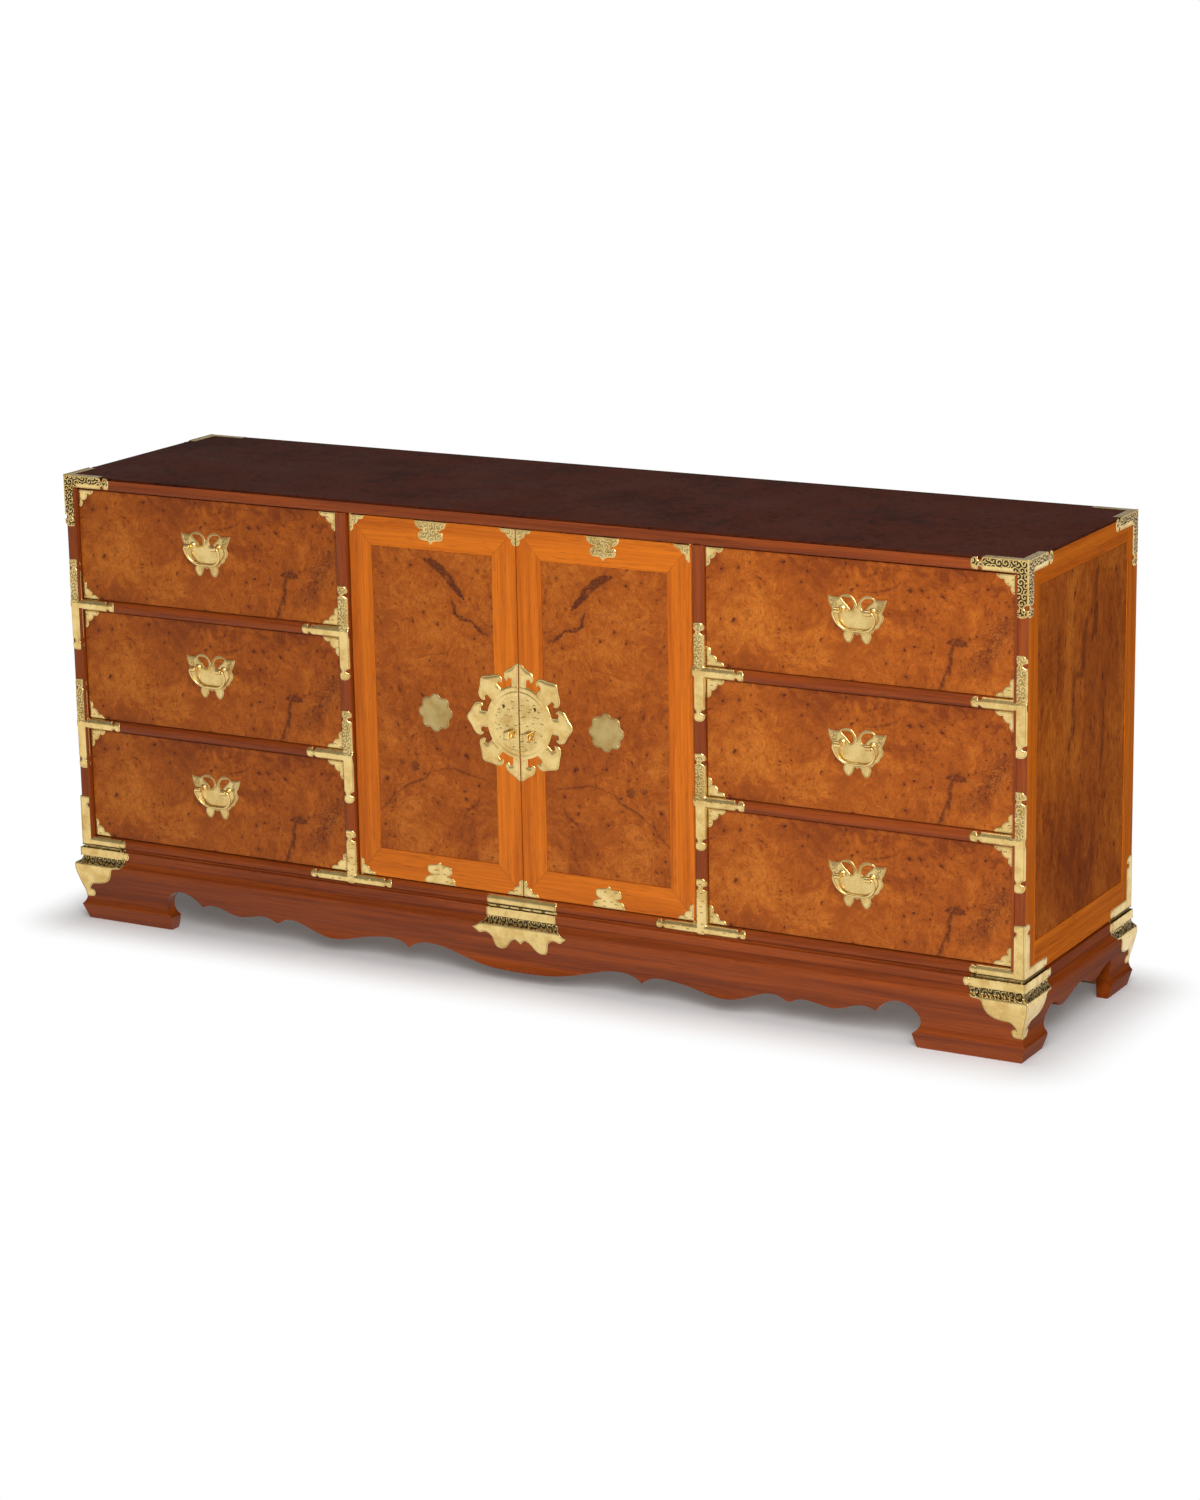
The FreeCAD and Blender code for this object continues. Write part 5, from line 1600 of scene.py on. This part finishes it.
# top brackets: bare edge under their arms, width of the posts they cover, and the plain edge along the front
BRACKET_MARGIN = 0.002
BRACKET_POST = 0.024
BRACKET_OVERLAP = 0.004
BRACKET_PLAIN = 0.0095
TOP_FLANGE_SHARE = 0.5
TOP_NAIL_SINK = 0.0001
SAME_LINE = 1e-4
STRAP_NODES = {"rail_straps": "rail_straps_wrapped", "divider_foot_straps": "foot_straps_wrapped"}


def near_rail(level):
    """The top of the drawer rail nearest to a level."""
    return min(RAIL_TOPS, key=lambda top: abs(top - level))


def strap_outline(node, loop, lap):
    """A strap's outline, widened to the beading it wraps, with shaped ends."""
    sign = math.copysign(1, loop[0][0])
    at_corner = np.abs(loop[:, 0]).max() > HALF_WIDTH - 0.001
    near = INNER_HALF - lap if at_corner else DIVIDER_INNER
    far = HALF_WIDTH if at_corner else DIVIDER_OUTER + lap
    bay_edge = (INNER_HALF if at_corner else DIVIDER_OUTER) * sign
    loop[np.abs(loop[:, 0] - bay_edge) < SAME_LINE, 0] = (near if at_corner else far) * sign
    post = sorted((near * sign, far * sign))
    if node == "rail_straps":
        top = near_rail(loop[:, 1].mean())
        bottom = top - RAIL_HEIGHT
        loop[(loop[:, 1] > top - SAME_LINE) & (loop[:, 1] < top + BRASS * 1.1), 1] = top + lap
        loop[np.abs(loop[:, 1] - bottom) < SAME_LINE, 1] = bottom - lap
        kept = np.linalg.norm(loop - np.roll(loop, 1, axis=0), axis=1) > 1e-5
        loop = capped(loop[kept], 0, -sign if at_corner else sign, bottom - lap, top + lap)
        loop = capped(loop, 1, -1, *post)
    else:
        loop = capped(loop, 0, 1, BASE_HEIGHT, FLOOR_LEVEL)
        loop = capped(loop, 0, -1, BASE_HEIGHT, FLOOR_LEVEL)
    return capped(loop, 1, 1, *post)


def make_straps(scene):
    """Straps and brackets that wrap the beading and the top corners."""
    brass = scene.sideboard_brass
    material = bpy.data.materials["embossed_brass"]
    beads = front_beads(scene.sideboard_wood)
    emboss = brass.emboss * STRAP_EMBOSS
    plain = plate_pattern(emboss)
    scrolled = plate_pattern(emboss, SCROLLS)
    lightly_scrolled = plate_pattern(emboss, LIGHT_SCROLLS)
    spots = []

    def add_nailed(loops, lay, pattern, nails):
        outline = add_sheet(shell, loops, lay, pattern, brass.spacing)
        spots.extend(nailed(lay, outline, nails, BRASS))

    def scrolls_and_painted_shade(points, depth):
        """Scrolls on the upper arm, and along the upper half of the cross arm scrolls whose dark ground is
        also painted shade, the rest plain.
        """
        height, relief = lightly_scrolled(points, depth)
        # the scrolled dark ground on the upper half of the cross arm is also painted shade on the half that
        # faces up
        lower = points[:, 1] < near_rail(points[:, 1].mean()) - 0.4 * RAIL_HEIGHT
        return height, np.where((relief > 0) & lower, 0.0, relief)

    def corner_scrolls(points, depth):
        """Scrolls down the corner and along the top, over a plain lower edge."""
        height, relief = scrolled(points, depth)
        across = np.abs(points[:, 0])
        on_post = across > INNER_HALF - BRACKET_OVERLAP
        if across.max() <= 0.5:
            on_post = (points[:, 0] < FRONT + BRACKET_POST) | (points[:, 0] > BACK - BRACKET_POST)
        lower = (points[:, 1] < TOP_RAIL_LOW + BRACKET_PLAIN) & ~on_post
        return height, np.where(lower & (relief > 0), 0.0, relief)

    for node, name in STRAP_NODES.items():
        shell = Shell()
        pattern = scrolls_and_painted_shade if node == "rail_straps" else plain
        for loops in flat_outlines(node, "front", FRONT - BRASS):
            loop = strap_outline(node, loops[0], scene.sideboard_wood.bead_lap)
            add_nailed([loop], wrapped(beads), pattern, STRAP_NAILS)
        finish_piece(shell.finish(name, material), "case", "brass", node)

    shell = Shell()
    arm = (TOP_RAIL_LOW + BRACKET_MARGIN, CASE_TOP)
    for loops in flat_outlines("top_corner_brackets", "front", FRONT - BRASS):
        sign = math.copysign(1, loops[0][0][0])
        post = sorted((sign * INNER_HALF, sign * (HALF_WIDTH + BRASS)))
        loop = capped(capped(loops[0], 0, -sign, *arm), 1, -1, *post)
        add_nailed([loop], wrapped(beads, True), corner_scrolls, BRACKET_NAILS)
    width = HALF_WIDTH - INNER_HALF
    for facing, sign in (("right", 1), ("left", -1)):
        for loops in flat_outlines("top_corner_brackets", facing, sign * (HALF_WIDTH + BRASS)):
            at_front = loops[0][:, 0].mean() < 0
            post = (FRONT - BRASS, FRONT + width) if at_front else (BACK - width, BACK)
            loop = capped(capped(loops[0], 0, 1 if at_front else -1, *arm), 1, -1, *post)
            add_nailed([loop], flat_surface(facing, sign * HALF_WIDTH), corner_scrolls, BRACKET_NAILS)
    lay = flat_surface("up", CASE_TOP)

    def lay_thin(points, height):
        return lay(points, height * TOP_FLANGE_SHARE)

    for loops in flat_outlines("top_corner_brackets", "up", CASE_TOP + BRASS):
        outline = add_sheet(shell, loops, lay_thin, plain, brass.spacing)
        spots += nailed(lay, outline, BRACKET_NAILS, BRASS - brass.nail - TOP_NAIL_SINK)
    finish_piece(shell.finish("top_brackets_embossed", material), "case", "brass", "top_corner_brackets")
    add_nails(scene, "case", spots, material)


# corner mount below its bands: shares of its reach and of the base's height
MOUNT_SHARES = (
    (0.93, 0.862), (0.91, 0.83), (0.895, 0.8), (0.86, 0.77), (0.83, 0.755), (0.77, 0.75), (0.72, 0.745),
    (0.68, 0.735), (0.655, 0.712), (0.635, 0.65), (0.6, 0.595), (0.54, 0.55), (0.46, 0.521), (0.385, 0.508),
    (0.308, 0.5), (0.25, 0.497), (0.192, 0.486), (0.15, 0.455), (0.115, 0.41), (0.15, 0.408), (0.19, 0.385),
    (0.2, 0.355), (0.185, 0.32), (0.15, 0.305), (0.115, 0.3),
)
# ends of the mount's two bands: inward distance from the corner and way along the section
MOUNT_BANDS = (
    (0.0835, 0.0742), (0.081, 0.0775), (0.0845, 0.0765), (0.0895, 0.0745), (0.093, 0.079), (0.093, 0.085),
    (0.0895, 0.0895), (0.0845, 0.0885), (0.0815, 0.0875), (0.083, 0.0905), (0.0905, 0.0915),
    (0.0915, 0.1035), (0.0905, 0.1065), (0.095, 0.1045), (0.0995, 0.1045), (0.102, 0.109), (0.102, 0.114),
    (0.099, 0.1185), (0.0955, 0.1185), (0.091, 0.1165),
)
# middle mount below its band: shares of its half width and of the base's height
CENTRE_MOUNT_SHARES = (
    (0.74, 0.862), (0.76, 0.83), (0.8, 0.8), (0.88, 0.75), (1.0, 0.71), (0.93, 0.67), (0.86, 0.64),
    (0.78, 0.655), (0.72, 0.66), (0.65, 0.64), (0.6, 0.6), (0.58, 0.55), (0.56, 0.5), (0.52, 0.46),
    (0.46, 0.45), (0.4, 0.45), (0.34, 0.47), (0.28, 0.51), (0.22, 0.56), (0.16, 0.59), (0.1, 0.6),
    (0.04, 0.575), (0, 0.55),
)
MOUNT_RISE = 0.091
MOUNT_REACH = 0.102
CENTRE_HALF = 0.091
MOUNT_EMBOSS = 0.8
MOUNT_SPACING = 0.0022
MOUNT_COLUMN = 0.004
MOUNT_RIM = 0.0009
# ways along the section: seams between the bands, and where the engraved cove starts and stops
MOUNT_SEAMS = (0.0898, 0.1205)
COVE_START = (0.1205, 0.122)
COVE_STOP = (0.142, 0.138)
MOUNT_FIELD = -0.2


def mount_pattern(emboss):
    """Plain bands and leaf, and an engraved cove between them."""
    plain = plate_pattern(emboss * MOUNT_EMBOSS, base=0.0)

    def shape(points, depth):
        height, relief = plain(points, depth)
        way = points[:, 1]
        cove = smooth_step(way, *COVE_START) * smooth_step(way, *COVE_STOP)
        seam = smooth_step(np.min([np.abs(way - place) for place in MOUNT_SEAMS], axis=0), 0.0022, 0.001)
        field = np.where(cove > 0.2, 1.0 + cove, np.where(seam > 0.1, -seam, MOUNT_FIELD))
        return height, np.where(relief >= 0, field, relief)
    return shape


def make_mounts(scene):
    """Brass mounts that follow the base's mouldings at the corners and in the middle."""
    material = bpy.data.materials["embossed_brass"]
    beads = front_beads(scene.sideboard_wood)
    pattern = mount_pattern(scene.sideboard_brass.emboss)
    post = HALF_WIDTH - INNER_HALF
    section = Section(SECTION_SHARES, MOUNT_RISE)
    shell = Shell()

    def sheet(loop, place):
        """A sheet over the section from its outline of inward distances and ways along the section."""
        loop = anticlockwise(loop)
        low = loop.min(axis=0)
        high = loop.max(axis=0)
        rows = [(column, way) for column in np.arange(low[0], high[0], MOUNT_COLUMN) for way in section.run]
        grid = np.concatenate([lattice(low, high, MOUNT_SPACING), np.array(rows)])
        inner = grid[is_inside(grid, [loop])]
        inner = inner[edge_distance(inner, [loop]) > MOUNT_RIM]
        add_sheet(shell, [loop], place, pattern, MOUNT_SPACING, inner, True)

    def run(level):
        return float(section.run_at(np.array([level]))[0])

    def on_front(across_of, square_corners):
        def lay(points, height):
            out, level = section.at(points[:, 1])
            across = across_of(points[:, 0])
            back = skin(np.column_stack((across, level)), beads, square_corners)
            back = np.where(level > BASE_HEIGHT, back, 0.0)
            return np.column_stack((across, FRONT - out + back - height, level))
        return lay

    def on_side(sign, start, direction):
        def lay(points, height):
            out, level = section.at(points[:, 1])
            reach = np.minimum(HALF_WIDTH + out + height, CAD_BOX[1].x)
            along = np.clip(start + direction * points[:, 0], CAD_BOX[0].y, BACK)
            return np.column_stack((sign * reach, along, level))
        return lay

    lower = [(share * MOUNT_REACH, run(level * BASE_HEIGHT)) for share, level in MOUNT_SHARES]
    corner_runs = section.run[section.run <= lower[-1][1] + 1e-9][::-1]
    corner = [(-out - BRASS, way) for out, way in zip(section.at(corner_runs)[0], corner_runs)]
    strap_run = run(FLOOR_LEVEL)
    mount = lower + [(corner[0][0], lower[-1][1])] + corner
    mount += [(post * (0.35 + 0.65 * share), along * post) for share, along in reversed(CAP_SHARES)]
    mount += [(post, strap_run)] + list(MOUNT_BANDS)
    back_mount = [(max(across, 0.0), way) for across, way in mount]
    for sign in SIDES.values():
        sheet(mount, on_front(lambda inward: sign * np.minimum(HALF_WIDTH - inward, CAD_BOX[1].x), True))
        sheet(mount, on_side(sign, FRONT, 1))
        sheet(back_mount, on_side(sign, BACK, -1))
    half = [(share * CENTRE_HALF, run(level * BASE_HEIGHT)) for share, level in CENTRE_MOUNT_SHARES]
    half.insert(0, (half[0][0], strap_run))
    centre = half + [(-across, way) for across, way in reversed(half[:-1])]
    sheet(centre, on_front(lambda across: across, False))
    finish_piece(shell.finish("base_mounts_embossed", material), "case", "brass", "base_mounts")


# Stage

CAMERA_PLACE = (3.11927, -5.47736, 1.98248)
CAMERA_YAW = math.radians(29.401)
CAMERA_PITCH = math.radians(14.420)
CAMERA_ROLL = math.radians(-1.030)
CAMERA_LENS = 90.66
FLOOR_HALF = 60.0
# floor: half size of the dark part under the object, width of its fade, and the least glow seen and mirrored
SHADE_HALF = (0.9, 0.21, 0.0)
SHADE_FADE = 0.16
LEAST_SEEN = 0.1
MORE_MIRRORED = 0.4
# world: strength at the horizon and above it, and the least that surfaces mirror
HORIZON_STRENGTH = 1.0
SKY_STRENGTH = 0.06
MIRRORED_STRENGTH = 0.3
WHITE = (1.0, 1.0, 1.0, 1.0)
# lamps: setting of the power, size, place, target, and whether surfaces mirror them
LAMPS = {
    "key_softbox": ("key", (2.2, 1.8), (2.1, -3.0, 2.4), (0.0, 0.0, 0.4), True),
    "fill_softbox": ("fill", (2.2, 1.8), (-3.6, -3.2, 2.4), (0.0, 0.0, 0.4), False),
    "overhead_softbox": ("overhead", (3.2, 2.4), (0.0, -0.4, 4.2), (0.0, 0.0, 0.0), True),
}


def add_lamp(scene, name, power, size, place, target, mirrored):
    lamp = bpy.data.lights.new(name, "AREA")
    lamp.shape = "RECTANGLE"
    lamp.size, lamp.size_y = size
    lamp.energy = power
    item = bpy.data.objects.new(name, lamp)
    turn = (Vector(target) - Vector(place)).to_track_quat("-Z", "Y")
    item.matrix_world = Matrix.Translation(place) @ turn.to_matrix().to_4x4()
    item.visible_glossy = mirrored
    scene.collection.objects.link(item)


def floor_material(colour):
    """A pale paint that glows away from the object, so that only the shadow near it shows."""
    material, graph, shader = new_material("floor_paint")
    graph.fill(shader, {"Base Color": colour, "Roughness": 0.9, "Specular IOR Level": 0.0})
    glow = graph.add("ShaderNodeEmission", {"Color": WHITE, "Strength": 1.0})
    outside = graph.vector("SUBTRACT", graph.vector("ABSOLUTE", object_vector(graph)), SHADE_HALF)
    distance = graph.length(graph.vector("MAXIMUM", outside, (0.0, 0.0, 0.0)))
    path = graph.add("ShaderNodeLightPath").outputs
    mirrored = graph.most(path["Is Glossy Ray"], path["Is Transmission Ray"])
    seen = graph.most(path["Is Camera Ray"], mirrored)
    least = graph.math("MULTIPLY_ADD", mirrored, MORE_MIRRORED, LEAST_SEEN)
    share = graph.times(graph.ramp(distance, 0.0, SHADE_FADE, least, 1.0), seen)
    mixed = graph.add("ShaderNodeMixShader", {0: share, 1: shader.outputs[0], 2: glow.outputs[0]})
    graph.fill(material.node_tree.nodes["Material Output"], {"Surface": mixed.outputs[0]})
    return material


def make_world():
    """A world that is bright at the horizon."""
    world = bpy.data.worlds.new("studio_world")
    world.use_nodes = True
    graph = Graph(world.node_tree)
    height = graph.split(graph.add("ShaderNodeTexCoord").outputs["Generated"])[2]
    sky = graph.ramp(height, 0.02, 0.2, HORIZON_STRENGTH, SKY_STRENGTH)
    mirrored = graph.times(graph.add("ShaderNodeLightPath").outputs["Is Glossy Ray"], MIRRORED_STRENGTH)
    graph.fill(world.node_tree.nodes["Background"], {"Color": WHITE, "Strength": graph.most(sky, mirrored)})
    return world


def make_camera():
    """The camera, in front of the object on its right and above its top."""
    level = math.cos(CAMERA_PITCH)
    forward = Vector((-math.sin(CAMERA_YAW) * level, math.cos(CAMERA_YAW) * level, -math.sin(CAMERA_PITCH)))
    right = Vector((math.cos(CAMERA_YAW), math.sin(CAMERA_YAW), 0))
    up = right.cross(forward)
    rolled_right = right * math.cos(CAMERA_ROLL) + up * math.sin(CAMERA_ROLL)
    rolled_up = up * math.cos(CAMERA_ROLL) - right * math.sin(CAMERA_ROLL)
    turn = Matrix((rolled_right, rolled_up, -forward)).transposed().to_4x4()
    camera = bpy.data.cameras.new("photo_camera")
    camera.lens = CAMERA_LENS
    camera.sensor_width = 36.0
    item = bpy.data.objects.new("photo_camera", camera)
    item.matrix_world = Matrix.Translation(CAMERA_PLACE) @ turn
    return item


def make_stage(scene):
    """Pale floor, soft lamps, a world that is bright at the horizon and the camera."""
    stage = scene.sideboard_stage
    mesh = bpy.data.meshes.new("studio_floor")
    corners = [(-FLOOR_HALF, -FLOOR_HALF, 0), (FLOOR_HALF, -FLOOR_HALF, 0), (FLOOR_HALF, FLOOR_HALF, 0),
               (-FLOOR_HALF, FLOOR_HALF, 0)]
    mesh.from_pydata(corners, [], [[0, 1, 2, 3]])
    mesh.materials.append(floor_material(stage.floor))
    floor = bpy.data.objects.new("studio_floor", mesh)
    scene.collection.objects.link(floor)
    scene.world = make_world()
    for name, (setting, *shape) in LAMPS.items():
        add_lamp(scene, name, getattr(stage, setting), *shape)
    camera = make_camera()
    scene.collection.objects.link(camera)
    scene.camera = camera
    scene.view_settings.view_transform = "Standard"


# Operators


class SIDEBOARD_OT_stage(bpy.types.Operator):
    """Make the floor, the light and the camera"""
    bl_idname = "sideboard.stage"
    bl_label = "Stage"

    def execute(self, context):
        make_stage(context.scene)
        return {"FINISHED"}


class SIDEBOARD_OT_effects(bpy.types.Operator):
    """Make the shared grain, burl, lacquer and brass effects and the nail heads"""
    bl_idname = "sideboard.effects"
    bl_label = "Shared effects"

    def execute(self, context):
        make_groups()
        return {"FINISHED"}


class SIDEBOARD_OT_case(bpy.types.Operator):
    """Dress the top, the sides, the beading and the boards inside"""
    bl_idname = "sideboard.case"
    bl_label = "Case"

    def execute(self, context):
        make_case(context.scene)
        return {"FINISHED"}


class SIDEBOARD_OT_base(bpy.types.Operator):
    """Make the moulded base with its scalloped aprons"""
    bl_idname = "sideboard.base"
    bl_label = "Base"

    def execute(self, context):
        make_base(context.scene)
        return {"FINISHED"}


class SIDEBOARD_OT_doors(bpy.types.Operator):
    """Dress the two doors"""
    bl_idname = "sideboard.doors"
    bl_label = "Doors"

    def execute(self, context):
        make_doors(context.scene)
        return {"FINISHED"}


class SIDEBOARD_OT_drawers(bpy.types.Operator):
    """Dress the six drawer fronts"""
    bl_idname = "sideboard.drawers"
    bl_label = "Drawers"

    def execute(self, context):
        make_drawers(context.scene)
        return {"FINISHED"}


class SIDEBOARD_OT_plates(bpy.types.Operator):
    """Make the embossed plates of drawers and doors"""
    bl_idname = "sideboard.plates"
    bl_label = "Plates"

    def execute(self, context):
        make_plates(context.scene)
        return {"FINISHED"}


class SIDEBOARD_OT_bails(bpy.types.Operator):
    """Make the six bails"""
    bl_idname = "sideboard.bails"
    bl_label = "Bails"

    def execute(self, context):
        make_bails()
        return {"FINISHED"}


class SIDEBOARD_OT_straps(bpy.types.Operator):
    """Make the straps on the beading and the top brackets"""
    bl_idname = "sideboard.straps"
    bl_label = "Straps"

    def execute(self, context):
        make_straps(context.scene)
        return {"FINISHED"}


class SIDEBOARD_OT_mounts(bpy.types.Operator):
    """Make the mounts on the base"""
    bl_idname = "sideboard.mounts"
    bl_label = "Base mounts"

    def execute(self, context):
        make_mounts(context.scene)
        return {"FINISHED"}


OPERATORS = (SIDEBOARD_OT_stage, SIDEBOARD_OT_effects, SIDEBOARD_OT_case, SIDEBOARD_OT_base,
             SIDEBOARD_OT_doors, SIDEBOARD_OT_drawers, SIDEBOARD_OT_plates, SIDEBOARD_OT_bails,
             SIDEBOARD_OT_straps, SIDEBOARD_OT_mounts)


class SIDEBOARD_PT_panel(bpy.types.Panel):
    """Lists the sideboard's settings and makers"""
    bl_idname = "SIDEBOARD_PT_panel"
    bl_label = "Sideboard"
    bl_space_type = "VIEW_3D"
    bl_region_type = "UI"
    bl_category = "Sideboard"

    def draw(self, context):
        layout = self.layout
        scene = context.scene
        for settings in (scene.sideboard_wood, scene.sideboard_brass, scene.sideboard_stage):
            column = layout.column()
            for name in settings.__annotations__:
                column.prop(settings, name)
        for operator in OPERATORS:
            layout.operator(operator.bl_idname)


CLASSES = (SideboardWood, SideboardBrass, SideboardStage) + OPERATORS + (SIDEBOARD_PT_panel,)


def register():
    for item in CLASSES:
        bpy.utils.register_class(item)
    bpy.types.Scene.sideboard_wood = PointerProperty(type=SideboardWood)
    bpy.types.Scene.sideboard_brass = PointerProperty(type=SideboardBrass)
    bpy.types.Scene.sideboard_stage = PointerProperty(type=SideboardStage)


def unregister():
    del bpy.types.Scene.sideboard_stage
    del bpy.types.Scene.sideboard_brass
    del bpy.types.Scene.sideboard_wood
    for item in reversed(CLASSES):
        bpy.utils.unregister_class(item)


def main():
    register()
    makers = bpy.ops.sideboard
    makers.stage()
    makers.effects()
    makers.case()
    makers.base()
    makers.doors()
    makers.drawers()
    makers.plates()
    makers.bails()
    makers.straps()
    makers.mounts()


if __name__ == "__main__":
    main()
